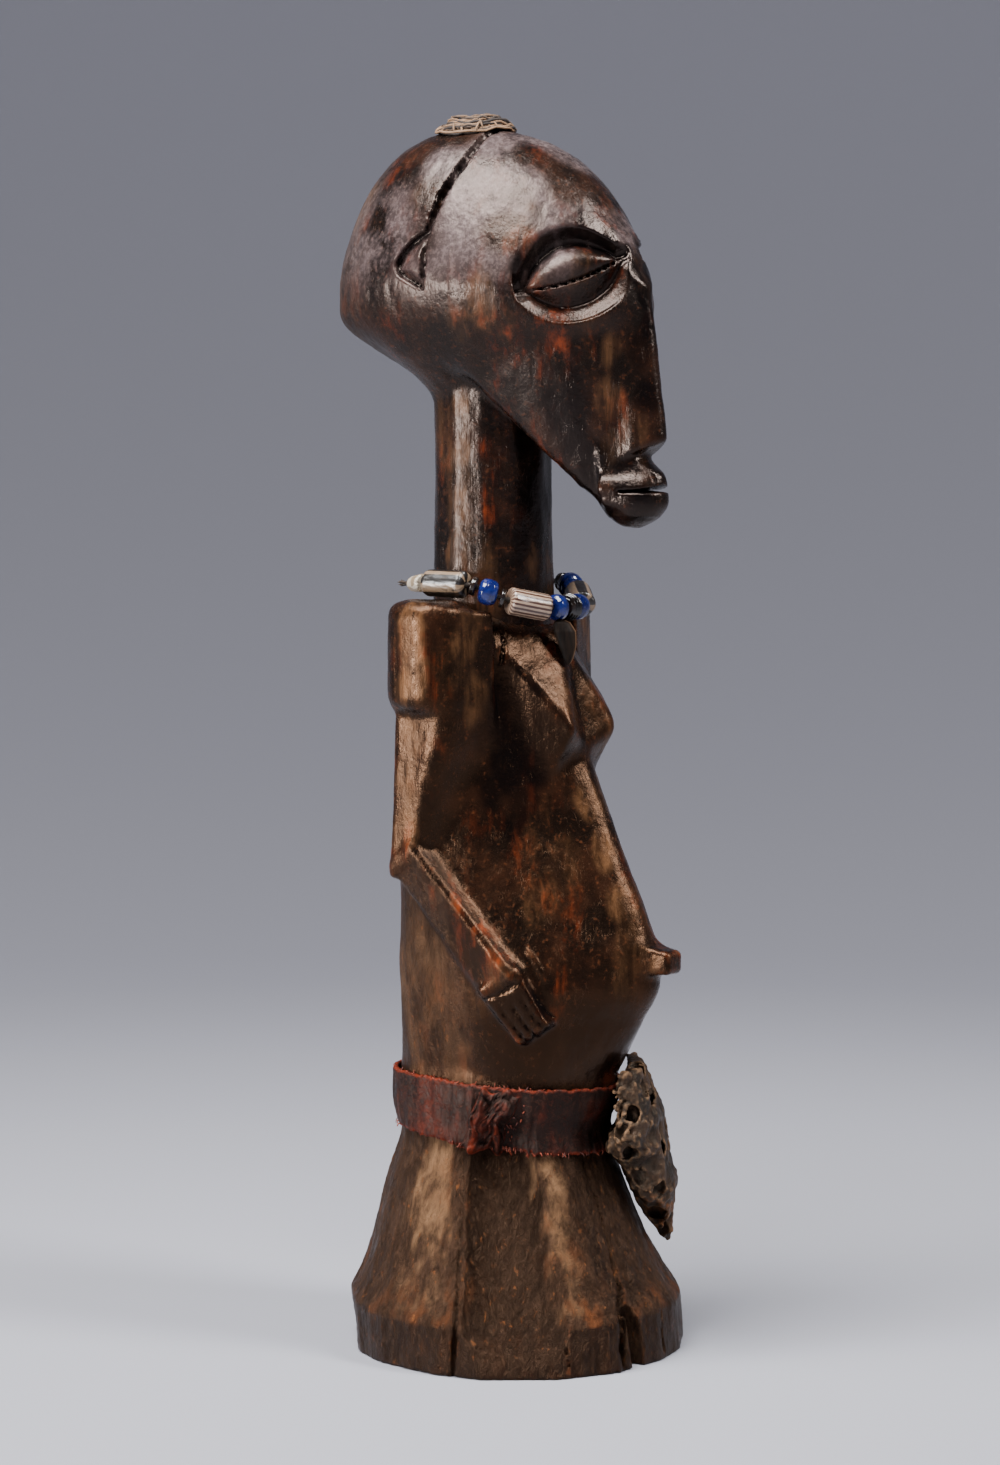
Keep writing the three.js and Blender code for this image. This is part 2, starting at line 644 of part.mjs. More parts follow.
piece('coiled_bead', bead(266.6, 278.6, COIL), 0x241812, 0.5);
piece('blue_bead_3', bead(279.8, 290, ROUND), 0x18245e, 0.25);
piece('disc_bead_3', bead(291.2, 295, DISC), 0x18120e, 0.5);
piece('striped_bead_3', bead(297, 325.4, TUBE), 0x6f6258, 0.4);
piece('blue_bead_4', bead(328, 339, ROUND), 0x18245e, 0.25);
piece('disc_bead_4', bead(340.4, 345, DISC), 0x18120e, 0.5);
piece('horn_pendant', hornPendant(), 0x120d0a, 0.3);

export default group;
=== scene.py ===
import math
from itertools import product

import bpy
import numpy as np
from mathutils import Matrix, Vector


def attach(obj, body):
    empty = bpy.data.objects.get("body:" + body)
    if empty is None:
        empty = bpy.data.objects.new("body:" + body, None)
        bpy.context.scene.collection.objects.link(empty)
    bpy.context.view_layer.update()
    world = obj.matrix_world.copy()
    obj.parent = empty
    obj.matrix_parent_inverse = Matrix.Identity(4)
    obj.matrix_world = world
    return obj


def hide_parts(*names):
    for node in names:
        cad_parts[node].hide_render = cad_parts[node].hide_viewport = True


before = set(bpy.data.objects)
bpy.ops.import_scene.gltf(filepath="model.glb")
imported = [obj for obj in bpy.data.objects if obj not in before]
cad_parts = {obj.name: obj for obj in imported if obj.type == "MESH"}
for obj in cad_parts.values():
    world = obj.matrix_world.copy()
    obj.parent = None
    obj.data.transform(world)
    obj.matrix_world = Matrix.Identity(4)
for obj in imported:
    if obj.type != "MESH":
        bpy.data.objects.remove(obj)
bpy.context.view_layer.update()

MM = .001


# Numbers

def clamp(v):
    return np.clip(v, 0, 1)


def smin(a, b, k):
    """The smaller of two fields, with the edge between them rounded over k."""
    h = clamp(.5 + .5 * (b - a) / k)
    return b + (a - b) * h - k * h * (1 - h)


def smax(a, b, k):
    return -smin(-a, -b, k)


def meet(k, f, *others):
    """The largest of several fields, every edge rounded over k."""
    for g in others:
        f = smax(f, g, k)
    return f


def curve(z, stations):
    """A smooth curve through (height, value) stations that never overshoots them."""
    zs = np.array([s[0] for s in stations], float)
    vs = np.array([s[1] for s in stations], float)
    n = len(zs)
    slope = np.diff(vs) / np.diff(zs)
    m = np.zeros(n)
    m[0], m[-1] = slope[0], slope[-1]
    for i in range(1, n - 1):
        if slope[i - 1] * slope[i] > 0:
            m[i] = 2 * slope[i - 1] * slope[i] / (slope[i - 1] + slope[i])
    at = np.clip(z, zs[0], zs[-1])
    i = np.clip(np.searchsorted(zs, at) - 1, 0, n - 2)
    h = zs[i + 1] - zs[i]
    t = (at - zs[i]) / h
    return ((2 * t**3 - 3 * t**2 + 1) * vs[i] + (t**3 - 2 * t**2 + t) * h * m[i]
            + (3 * t**2 - 2 * t**3) * vs[i + 1] + (t**3 - t**2) * h * m[i + 1])


def ease(t):
    return t * t * (3 - 2 * t)


def ramp(v, low, high):
    return ease(clamp((v - low) / (high - low)))


def scatter(ix, iy, iz, seed):
    """A repeatable random whole number for each cell."""
    k = ix * 73856093 ^ iy * 19349663 ^ iz * 83492791 ^ (seed * 2654435761)
    k = (k ^ (k >> 13)) * 1274126177 & 0x7fffffff
    return (k ^ (k >> 15)) * 668265263 & 0x7fffffff


def noise(x, y, z, seed):
    """Smooth noise between -1 and 1, one cell to a unit."""
    places = np.broadcast_arrays(x, y, z)
    corner = [np.floor(v).astype(np.int64) for v in places]
    share = [ease(v - i) for v, i in zip(places, corner)]
    total = 0
    for step in product((0, 1), repeat=3):
        value = (scatter(*(i + s for i, s in zip(corner, step)), seed) & 0xffff) / 32767.5 - 1
        u, v, w = (t if s else 1 - t for t, s in zip(share, step))
        total = total + value * u * v * w
    return total


def stretched(p, wide, tall, seed):
    """Noise with cells so many millimetres wide and tall."""
    return noise(p[0] / wide, p[1] / wide, p[2] / tall, seed)


def cells(x, y, z, seed):
    """How far each place is from the nearest of many scattered points, one to a unit cell."""
    corner = [np.floor(v).astype(np.int64) for v in (x, y, z)]
    best = np.full(x.shape, 9.)
    for step in product((-1, 0, 1), repeat=3):
        near = [i + s for i, s in zip(corner, step)]
        k = scatter(*near, seed)
        away = [i + (k >> bits & 1023) / 1023 - v for i, bits, v in zip(near, (0, 10, 20), (x, y, z))]
        best = np.minimum(best, sum(v * v for v in away))
    return np.sqrt(best)


def ribbon(x, y, z, path):
    """Distance to a line through points, each with its own half width."""
    out = np.full(x.shape, 9.)
    reach = 4
    low, high = path[:, :3].min(0) - reach, path[:, :3].max(0) + reach
    near = np.all([(v > a) & (v < b) for v, a, b in zip((x, y, z), low, high)], 0)
    if near.any():
        p = np.stack([x[near], y[near], z[near]], 1)
        best = np.full(len(p), 9.)
        for a, b in zip(path[:-1], path[1:]):
            d = (b - a)[:3]
            t = clamp((p - a[:3]) @ d / (d @ d + 1e-9))
            far = np.linalg.norm(p - a[:3] - t[:, None] * d, axis=1)
            best = np.minimum(best, far - a[3] - (b[3] - a[3]) * t)
        out[near] = best
    return out


def oval(*axes):
    """Distance to an ellipse or ellipsoid, from a place and a half size along each axis."""
    k0 = np.sqrt(sum((v / a)**2 for v, a in axes))
    k1 = np.sqrt(sum((v / a**2)**2 for v, a in axes)) + 1e-9
    return k0 * (k0 - 1) / k1


def rounded(q, r):
    """Distance to a rounded box, from how far outside its inner box a place is on each axis."""
    out = np.sqrt(sum(np.maximum(v, 0)**2 for v in q))
    return out + np.minimum(np.maximum(q[0], np.maximum(q[1], q[2])), 0) - r


def bar(x, y, z, start, end, wide, high, r, roll):
    """A rounded bar whose half width and half height run from one end's value to the other's."""
    a = np.array(start, float)
    d = end - a
    length = np.linalg.norm(d)
    d /= length
    s = np.cross(d, (0, 0, 1))
    s /= np.linalg.norm(s)
    u = np.cross(s, d)
    s, u = s * math.cos(roll) + u * math.sin(roll), u * math.cos(roll) - s * math.sin(roll)
    offset = x - a[0], y - a[1], z - a[2]
    along, across, up = (sum(v * w for v, w in zip(offset, way)) for way in (d, s, u))
    k = clamp(along / length)
    return rounded([np.abs(across) - (wide[0] + (wide[1] - wide[0]) * k) + r,
                    np.abs(up) - (high[0] + (high[1] - high[0]) * k) + r,
                    np.abs(along - length / 2) - length / 2], r)


# The carving as a distance field in millimetres; stations are (height, value)

SKIRT_R = [(0, 56.8), (16.5, 57.2), (18.5, 56.5), (21, 54.9), (28, 51), (40, 46.2), (56, 41.3), (72, 36),
           (84, 35), (96, 35.5)]
SKIRT_Y = [(0, 0), (8, .8), (20, 2.3), (28, 3.2), (40, 4.6), (56, 6), (72, 6.8), (90, 6.5)]
FRONT = [(60, -30), (92, -35.5), (101.6, -41), (114.4, -49), (128.5, -56), (137, -55.6), (148.4, -51.6),
         (161.5, -46), (174.6, -40), (188, -34), (201, -28.5), (216, -23), (232, -19), (250, -15), (262, -12)]
BACK = [(60, 37), (92, 37), (104, 35), (118, 33), (150, 31), (180, 32), (210, 33), (250, 32)]
WIDE = [(60, 31), (92, 31), (104, 33.5), (118, 36.5), (140, 39), (165, 39), (185, 38), (250, 38)]
FLANK = [(60, 62), (92, 58), (115, 46), (140, 41), (177, 38), (190, 40), (215, 46), (262, 55)]
ARM_FRONT = [(160, 12.5), (177, 8.4), (195, 4), (212, -.4), (225, -1.4), (250, -.6)]
FACETS = [(190, 1), (173, .1), (153, .8), (131, 0), (106, .8), (82, .1), (57, .9), (32, 0), (6, .7),
          (-20, 0), (-43, .8), (-62, .2), (-80, .7), (-98, .1), (-120, 1.1)]
HOLLOW_TURN = math.radians(215)
TIP = (13.6, -32.3, 213.5)
EYE = (20.0, -35.0, 362.0)
EYE_TURN, EYE_TILT = math.radians(41), math.radians(18.4)


def skirt(x, y, z):
    """The flared base: facets (angle, how far out), a hollow on the right and an apron below it."""
    middle = curve(z, SKIRT_Y)
    r = curve(z, SKIRT_R)
    f = np.full(x.shape, -1e3)
    for turn, out in FACETS:
        a = math.radians(turn)
        f = smax(f, x * math.cos(a) + (y - middle) * math.sin(a) - r + 1 - out, 1.3)
    c, s = math.cos(HOLLOW_TURN), math.sin(HOLLOW_TURN)
    across = np.abs((y - middle) * c - x * s) / r
    apron = curve(z + 9 * clamp(1 - (across / .4)**2)**.6, SKIRT_R)
    hollow = 4.6 * clamp(1 - (across / .3)**2)**.6 * ramp(z, 4, 18)
    f = smax(f, x * c + (y - middle) * s - apron + .3 + hollow, .8)
    return smax(smax(f * .85, -z, 1), z - 98, 14)


def torso(x, y, z):
    front, turn = curve(z, FRONT), np.radians(curve(z, FLANK))
    keel = np.sqrt(x * x + 49) - 7
    flank = keel * np.cos(turn) - (y - front) * np.sin(turn)
    f = smax(flank, smax(np.abs(x) - curve(z, WIDE), y - curve(z, BACK), 22), 14) * .85
    return smax(smax(f, .93 * (z - 254) - .37 * np.minimum(y - 8, 0), 5), 80 - z, 6)


def trunk(x, y, z):
    return smin(skirt(x, y, z), torso(x, y, z), 5)


def arms(ax, y, z):
    t = (212 - z) / 35
    front, outer = curve(z, ARM_FRONT), 44 + t
    f = meet(2, ax - outer, .82 * (ax - outer) - .57 * (y - front - 3 - .6 * clamp(t)),
             .342 * (ax - 41.5) - .94 * (y - front), y - (20.7 + 1.3 * t), smax(z - 253, 24 - ax, 2))
    upper = smax(f, -.785 * (z - 160.5) - .62 * (y - 24), 3)
    fore = bar(ax, y, z, (40, 17, 171), (34, -18, 130), (5.2, 5.0), (7.6, 7.8), 2.4, .3)
    hand = bar(ax, y, z, (34.2, -17, 131), (29.8, -27, 114), (4.8, 4), (8.0, 6.6), 1.6, .2)
    return smin(smin(upper, fore, 2), hand, 1.5)


def breast(ax, y, z):
    a, b, c = ax - TIP[0], y - TIP[1], z - TIP[2]
    top = .40 * a - .733 * b + .548 * c
    side = .96 * a - .2 * b - .12 * c
    inner = -.45 * a - .87 * b + .21 * c
    under = -.834 * b - .556 * c
    f = smax(smax(top, side, 2), smax(inner, under, 2.5), 2.5)
    return smax(f, smax(z - 247, b - 34, 3), 3)


def navel(x, y, z):
    s = 3.7 + 1.5 * clamp((y + 64) / 14)
    up = z - 136.5 - (y + 56) * .08
    return rounded([np.abs(x) - s + 1.2, np.abs(y + 54.6) - 7.2, np.abs(up) - s + 1.8], 1.8)


def shoulder(ax, y, z):
    a, b, c = ax - 38.5, y - 11.2, z - 239 + (ax - 30) * .08
    f = smax(np.abs(a) - 9.6, np.abs(b) - 13.6, 5)
    f = smax(f, .72 * (a - 7.4) - .69 * (b + 8.6), 4)
    f = smax(f, .80 * (a - 8.4) + .60 * (b - 9), 4)
    return smax(f, np.abs(c) - 18.4, 6)


def body(x, y, z):
    ax = np.abs(x)
    f = trunk(x, y, z)
    f = smin(f, shoulder(ax, y, z), 3)
    f = smin(f, arms(ax, y, z), 2.5)
    f = smin(f, breast(ax, y, z), 3)
    return smin(f, navel(x, y, z), 3)


def neck(x, y, z):
    f = np.full(x.shape, -1e3)
    r = curve(z, [(244, 21), (262, 20), (300, 19.6), (345, 21)])
    for i in range(12):
        a = math.radians(8 + 30.5 * i)
        f = smax(f, x * math.cos(a) + (y - 11) * math.sin(a) - r, 1.2)
    return smax(smax(f, 244 - z, 3), z - 350, 3)


def skull(ax, y, z):
    up = z - 360
    narrow = 1 + .038 * np.sin(np.pi * clamp(up / 56))**2
    across, along = ax * narrow, (y - 19 - .025 * np.maximum(up, 0)) * narrow
    length = np.where(along < 0, 68, 49.5)
    top = oval((across, 39.5), (along, length), (np.maximum(up, 0), 56.5))
    ring = np.sqrt((across / 39.5)**2 + (along / length)**2) + 1e-6
    sideways = (across / 39.5 / ring)**6
    return smax(top, (ring - 1.3 - (.0319 - .008 * sideways) * up) * 30, 5 + 10 * sideways)


def jaw(ax, y, z):
    side = .95 * (ax - 23) - .081 * (y + 8) - .301 * (z - 328)
    cheek = .788 * (ax - 20.7) - .616 * (y + 35)
    beside_nose = .469 * (ax - 5) - .883 * (y + 48)
    f = smax(side, smax(cheek, beside_nose, 6), 13)
    f = smax(f, .714 * (y + 41.2) - .70 * (z - 283), 5)
    f = smax(f, -(y + 50), 3)
    f = smax(smax(f, 281 - z, 3), z - 360, 6)
    f = smax(f, y - 14, 18)
    return smin(f, oval((ax, 9.5), (y + 47, 11.6), (z - 290.5, 9.6)), 3)


def nose(ax, y, z):
    ridge = y + 58.9 - .135 * (z - 311)
    f = smax(.81 * (ax - 1.5) - .585 * ridge - .25 * np.clip(z - 358, 0, 30), -.98 * ridge, 1.2)
    f = smax(f, ax - 7.6, 2)
    f = smax(f, skull(ax, y, z) - .3 - 25 * ramp(-z, -368, -338) - 300 * ramp(-z, -350, -335), 2)
    f = smax(f, -.9 * (z - 308.5) - .42 * (y + 57.5), 1.8)
    return smax(smax(f, z - 382, 6), y + 30, 3)


def eye_frame(ax, y, z):
    c, s, ct, st = math.cos(EYE_TURN), math.sin(EYE_TURN), math.cos(EYE_TILT), math.sin(EYE_TILT)
    X, Y, Z = ax - EYE[0], y - EYE[1], z - EYE[2] - 2.15
    h = X * s + Y * c + .35
    return h * ct - Z * st, h * st + Z * ct, X * c - Y * s


def eye_relief(p, q):
    """Height of the carved eye over the plane of the face, and how far inside its hollow it is."""
    v = q + .5
    upper = 9.9 * (1 - ((p - .2) / 16.8)**2)
    lower = -10.6 * (1 - ((p + .3) / 16.6)**2)
    slit = -2.1 * (1 - (p / 16.8)**2)
    taper = clamp(1 - (p / 16.8)**2)**.4
    t = (v - slit) / np.maximum(upper - slit, .8)
    lid = -6.2 + 7.6 * taper * np.sin(np.pi * (.15 + .85 * clamp(t)))**.55
    s = (slit - v) / np.maximum(slit - lower, .8)
    under = -4.1 + taper * (4.5 * (1 - clamp(s))**1.2)
    relief = np.where(v > slit, lid, under)
    relief = relief - 2.2 * np.exp(-((v - slit - .25) / .38)**2) * ramp(taper, .1, .6)
    wall = oval((p + .6, 20.9), (q - .3, np.where(q > 0, 16.4, 15.9)))
    cove = -6.3 + 4.6 * clamp((q - np.maximum(upper, 0)) / 6.4)**2
    scoop = -4.0 + 4.0 * clamp((wall + 4.9) / 4.9)**.62
    dish = np.where(q > -2, cove, scoop) + (scoop - cove) * (ramp(-q, -1, 4) - np.where(q > -2, 0, 1))
    return np.maximum(dish, relief), wall


def head(x, y, z):
    ax = np.abs(x)
    p, q, n = eye_frame(ax, y, z)
    f = smin(skull(ax, y, z), jaw(ax, y, z), 7)
    f = smin(f, nose(ax, y, z), 3)
    relief, wall = eye_relief(p, q)
    f = smax(f, -smax((relief - n) * .8, smax(wall, 3.4 - ax, 2), .6), .7)
    f = np.minimum(f, smax((n - relief) * .6, wall + 3, 1))
    return mouth(f, ax, y, z)


def mouth(f, ax, y, z):
    """Adds the lips and cuts the gap between them."""
    swell = clamp(1 - (ax / (12.4 - .4 * np.clip(z - 294, 0, 12)))**2)**1.15
    notches = .3 * np.cos(ax * 3.4) * ramp(-y, 51, 55) * ramp(z, 294, 296)
    reach = smax(-(y + 40 + 18 * swell - notches), (ax - 11) * .8, 4) * .75
    upper = smax(reach, .8 * (z - 298 + .05 * ax * ax) - .6 * (y + 58.5), 1.4)
    upper = smax(smax(upper, 294.6 - .1 * ax - z, .8), y + 40, 2)
    lower = smax(reach - .4, .42 * (z - 292.8 + .1 * ax) - .9 * (y + 57.4 - ax * ax * .06), 1.2)
    lower = smax(smax(lower, 287.5 - z, 3), z - 296, 1)
    f = smin(smin(f, smax(lower, y + 40, 2), 2.4), upper, 3.2)
    gap = smax(np.abs(z - 293.8 + .12 * ax) - .45 - .09 * np.clip(-51 - y, 0, 8), y + 46, 1)
    return smax(f, -gap, .5)


def head_and_neck(x, y, z):
    return smin(neck(x, y, z), head(x, y, z), 2.5)


def whole(x, y, z):
    return smin(body(x, y, z), head_and_neck(x, y, z), 2)


# Meshing

COARSE = 4
CHUNK = 300000


def gradient(field, p):
    g, e = np.empty_like(p), .25
    for i in range(3):
        step = np.zeros(3)
        step[i] = e
        g[:, i] = (field(*(p + step).T) - field(*(p - step).T)) / (2 * e)
    return g


def unit(v):
    return v / (np.linalg.norm(v, axis=-1, keepdims=True) + 1e-12)


def surface_net(field, low, high, step):
    """Points and four-sided faces of the field's zero surface."""
    axes = [np.arange(a - 2 * step, b + (2 + COARSE) * step, step) for a, b in zip(low, high)]
    axes = [a[:len(a) // COARSE * COARSE] for a in axes]
    rough = field(*np.meshgrid(*(a[::COARSE] for a in axes), indexing="ij"))
    near = np.abs(rough) < COARSE * step * 1.3 + 1.5
    for axis in range(3):
        near = near | np.roll(near, 1, axis) | np.roll(near, -1, axis)

    def fine(a):
        return a.repeat(COARSE, 0).repeat(COARSE, 1).repeat(COARSE, 2)

    values = np.where(fine(rough < 0), -9., 9.).astype(np.float32)
    i, j, k = np.nonzero(fine(near))
    for s in range(0, len(i), CHUNK):
        t = slice(s, s + CHUNK)
        values[i[t], j[t], k[t]] = field(axes[0][i[t]], axes[1][j[t]], axes[2][k[t]])
    inside = values < 0
    corners = list(product((0, 1), repeat=3))
    size = [n - 1 for n in inside.shape]
    count = np.zeros(size, np.uint8)
    for a, b, c in corners:
        count += inside[a:a + size[0], b:b + size[1], c:c + size[2]]
    crossed = np.argwhere((count > 0) & (count < 8))
    number = np.full(size, -1, np.int32)
    number[tuple(crossed.T)] = np.arange(len(crossed))
    v = {o: values[tuple((crossed + o).T)] for o in corners}
    total, hits = np.zeros((len(crossed), 3)), np.zeros(len(crossed))
    for o, axis in product(corners, range(3)):
        if o[axis] == 0:
            e = tuple(1 if n == axis else o[n] for n in range(3))
            cross = (v[o] < 0) != (v[e] < 0)
            at = np.tile(np.array(o, float), (len(crossed), 1))
            at[:, axis] += np.where(cross, v[o] / np.where(cross, v[o] - v[e], 1), 0)
            total += at * cross[:, None]
            hits += cross
    points = (crossed + total / hits[:, None]) * step + [a[0] for a in axes]
    faces = []
    for axis in range(3):
        b, c = (axis + 1) % 3, (axis + 2) % 3
        flip = inside != np.roll(inside, -1, axis)
        for n in range(3):
            flip.swapaxes(0, n)[[0, -1]] = False
        e = np.argwhere(flip)
        ring = []
        for db, dc in ((-1, -1), (0, -1), (0, 0), (-1, 0)):
            cell = e.copy()
            cell[:, b] += db
            cell[:, c] += dc
            ring.append(number[tuple(cell.T)])
        quad = np.stack(ring, 1)
        inward = ~inside[tuple(e.T)]
        quad[inward] = quad[inward][:, ::-1]
        faces.append(quad)
    return points, np.concatenate(faces)


def settle(field, points, step):
    """Moves points onto the zero surface."""
    for _ in range(2):
        g = gradient(field, points)
        move = -field(*points.T)[:, None] * g / (np.sum(g * g, 1)[:, None] + 1e-9)
        length = np.linalg.norm(move, axis=1, keepdims=True) + 1e-9
        points = points + move * np.minimum(1, step * .6 / length)
    return points


def net(field, low, high, step, settle_step):
    """Points on a field's surface, the faces between them and the outward direction at each."""
    points, faces = surface_net(field, low, high, step)
    points = settle(field, points, settle_step)
    return points, faces, unit(gradient(field, points))


def make_mesh(name, points, faces, material, **values):
    """A smooth mesh in metres from points in millimetres, with a number at each point for each value."""
    mesh = bpy.data.meshes.new(name)
    co = (np.asarray(points) * MM).astype(np.float32).ravel()
    mesh.vertices.add(len(co) // 3)
    mesh.vertices.foreach_set("co", co)
    mesh.loops.add(faces.size)
    mesh.loops.foreach_set("vertex_index", faces.astype(np.int32).ravel())
    mesh.polygons.add(len(faces))
    mesh.polygons.foreach_set("loop_start", np.arange(0, faces.size, faces.shape[1], dtype=np.int32))
    mesh.polygons.foreach_set("use_smooth", np.ones(len(faces), bool))
    mesh.update(calc_edges=True)
    mesh.validate()
    for key, value in values.items():
        layer = mesh.attributes.new(key, "FLOAT", "POINT")
        layer.data.foreach_set("value", np.asarray(value, np.float32).ravel())
    mesh.materials.append(material)
    o = bpy.data.objects.new(name, mesh)
    bpy.context.collection.objects.link(o)
    return o


def standing(points, faces, normal):
    """How far each point stands out above its surroundings, in millimetres."""
    sides = faces.shape[1]
    edges = np.concatenate([faces[:, [i, (i + 1) % sides]] for i in range(sides)])
    edges = np.concatenate([edges, edges[:, ::-1]])
    number = np.bincount(edges[:, 0], minlength=len(points))[:, None]
    soft = points.copy()
    for _ in range(8):
        around = np.stack([np.bincount(edges[:, 0], soft[edges[:, 1], n], len(points)) for n in range(3)], 1)
        soft = .4 * soft + .6 * around / np.maximum(number, 1)
    return np.sum((points - soft) * normal, 1)


# The camera, as the photograph was taken

VIEW_TURN, PITCH = math.radians(35), math.radians(3.7)
PHOTO_WIDE, PHOTO_HIGH = 1000, 1465
CENTRE_PX = (519.5, 732.5)
FOCAL_PX = 3364
SENSOR = 36
AWAY, CAMERA_Z = 1150, 285
CAMERA = np.array([-AWAY * math.cos(VIEW_TURN), -AWAY * math.sin(VIEW_TURN), CAMERA_Z])
RIGHT = np.array([math.sin(VIEW_TURN), -math.cos(VIEW_TURN), 0])
AHEAD = np.array([math.cos(VIEW_TURN) * math.cos(PITCH), math.sin(VIEW_TURN) * math.cos(PITCH), -math.sin(PITCH)])
UPWARD = np.cross(RIGHT, AHEAD)


def make_camera():
    data = bpy.data.cameras.new("camera")
    data.sensor_fit = "VERTICAL"
    data.sensor_height = SENSOR
    data.lens = SENSOR * FOCAL_PX / PHOTO_HIGH
    data.shift_x = (PHOTO_WIDE / 2 - CENTRE_PX[0]) / PHOTO_HIGH
    data.clip_start, data.clip_end = .05, 20
    o = bpy.data.objects.new("camera", data)
    bpy.context.collection.objects.link(o)
    place = Matrix([[*map(float, row)] for row in np.stack([RIGHT, UPWARD, -AHEAD], 1)]).to_4x4()
    place.translation = [float(v) * MM for v in CAMERA]
    o.matrix_world = place
    bpy.context.scene.camera = o


def seen(px, py, field):
    """The points where rays through photo pixels meet a field; not a number where they miss it."""
    px, py = np.asarray(px, float), np.asarray(py, float)
    right, up = np.outer(px - CENTRE_PX[0], RIGHT), np.outer(py - CENTRE_PX[1], UPWARD)
    way = unit(AHEAD + right / FOCAL_PX - up / FOCAL_PX)
    t = np.full(len(px), 900.)
    for _ in range(160):
        t += np.clip(field(*(CAMERA + way * t[:, None]).T) * .7, -2, 30)
    t[t > 1400] = np.nan
    return CAMERA + way * t[:, None]


# Cracks and cut lines, placed by where they show

def marks(field, *lines):
    """Lines on the surface from rows of (px, py, half width), wandering a little."""
    out = []
    for n, line in enumerate(lines):
        line = np.array(line, float)
        share = np.linspace(0, 1, 4 * len(line))
        at = np.linspace(0, 1, len(line))
        px, py, wide = (np.interp(share, at, line[:, i]) for i in range(3))
        p = seen(px + 1.1 * noise(share * 3 * len(line), .5, .5, 40 + n), py, field)
        wide = wide * (1 + .35 * noise(share * 4 * len(line), 0, .3, 60 + n))
        out.append(np.column_stack([p, wide])[np.isfinite(p[:, 0])])
    return out


HEAD_CRACK = marks(head, [
    (513, 121, .65), (503, 129, 1.0), (495, 132, 1.3), (486, 135, 1.7), (478, 143, 1.6), (470, 153, 1.4),
    (461, 165, 1.6), (452, 177, 1.6), (446, 188, 1.7), (440, 198, 1.4), (436, 209, 1.3), (432, 219, 1.2),
    (428, 230, 1.2), (425, 240, 1.2), (422, 255, 1.3), (422, 270, 1.2), (421, 280, 1.0), (421, 288, .91)])
BASE_CRACKS = marks(skirt, [
    (464, 1130, .4), (462, 1200, .45), (459, 1260, .5), (456, 1310, .8), (454, 1345, .9), (453, 1374, .9)], [
    (579, 1140, .5), (590, 1180, .55), (600, 1212, .6), (608, 1240, .7), (615, 1270, .9), (621, 1290, 1.2),
    (623, 1325, 1.5), (624, 1366, 1.6)], [
    (566, 1318, .3), (567, 1345, .4), (568, 1373, .4)], [
    (662, 1310, .3), (663, 1335, .5), (665, 1350, .6)])
BODY_CRACKS = marks(body, [
    (503, 629, .5), (504, 645, .7), (502, 662, .6), (503, 682, .4)], [
    (414, 612, .15), (415, 640, .2), (412, 668, .2), (415, 690, .15)])
FINGERS = marks(body, [
    (501, 1009, .5), (513, 1025, .65), (526, 1041, .6)], [
    (514, 1007, .5), (524, 1023, .65), (535, 1037, .6)], [
    (521, 998, .45), (533, 1016, .6), (547, 1031, .55)], [
    (533, 992, .4), (541, 1004, .5), (553, 1017, .45)], [
    (484, 1000, .6), (500, 994, .6), (519, 983, .6)])
THUMB = marks(body, [(528, 950, .5), (536, 962, 1.0), (545, 980, .6)])


def ear(ax, y, z):
    """The cut of one ear: three-cornered, deepest along its back and lower edges."""
    behind = .69 * y + .724 * z - 284.3 + .02 * (.724 * (y - 18) - .69 * (z - 373))**2
    below = .497 * y - .867 * z + 305.8
    leaf = smax(smax(behind - 1, below - .6, 6), -.996 * y - .087 * z + 45.3, 1.5)
    floor = 3.1 - .50 * np.clip(np.minimum(-behind, -below * 1.6), 0, 5.2)
    return smax(leaf, -skull(ax, y, z) - floor, .4)


def crack_cuts(f, x, y, z, lines):
    for line in lines:
        f = smax(f, -ribbon(x, y, z, line), .25)
        f = smax(f, -ribbon(x, y, z, sunk(line)), .25)
    return f


def sunk(line):
    """The same line nearer the middle, so that a crack is deeper than it is wide."""
    line = line.copy()
    line[:, :2] -= unit(line[:, :2] - (0, 12)) * line[:, 3:] * 1.2
    return line


def carved_body(x, y, z):
    ax = np.abs(x)
    f = body(x, y, z)
    for line in THUMB:
        f = smin(f, ribbon(-ax, y, z, line), 1)
    for line in FINGERS:
        f = smax(f, -ribbon(-ax, y, z, line), .3)
    f = crack_cuts(f, x, y, z, BODY_CRACKS)
    if np.min(z) < 90:
        f = crack_cuts(f, x, y, z, BASE_CRACKS)
        a = math.radians(259.5)
        out, along = x * math.cos(a) + (y - 1) * math.sin(a), -x * math.sin(a) + (y - 1) * math.cos(a)
        chip = oval((out - 57 + .1 * z, 6.5), (along + .12 * (z - 8) - .4, 3.4), (z - 8, 15))
        f = smax(f, -smax(chip, -along - 3, .5), .6)
    return f


def carved_head_and_neck(x, y, z):
    ax = np.abs(x)
    f = head_and_neck(x, y, z)
    f = smax(f, -ear(ax, y, z), .6)
    return crack_cuts(f, x, y, z, HEAD_CRACK)


# Materials

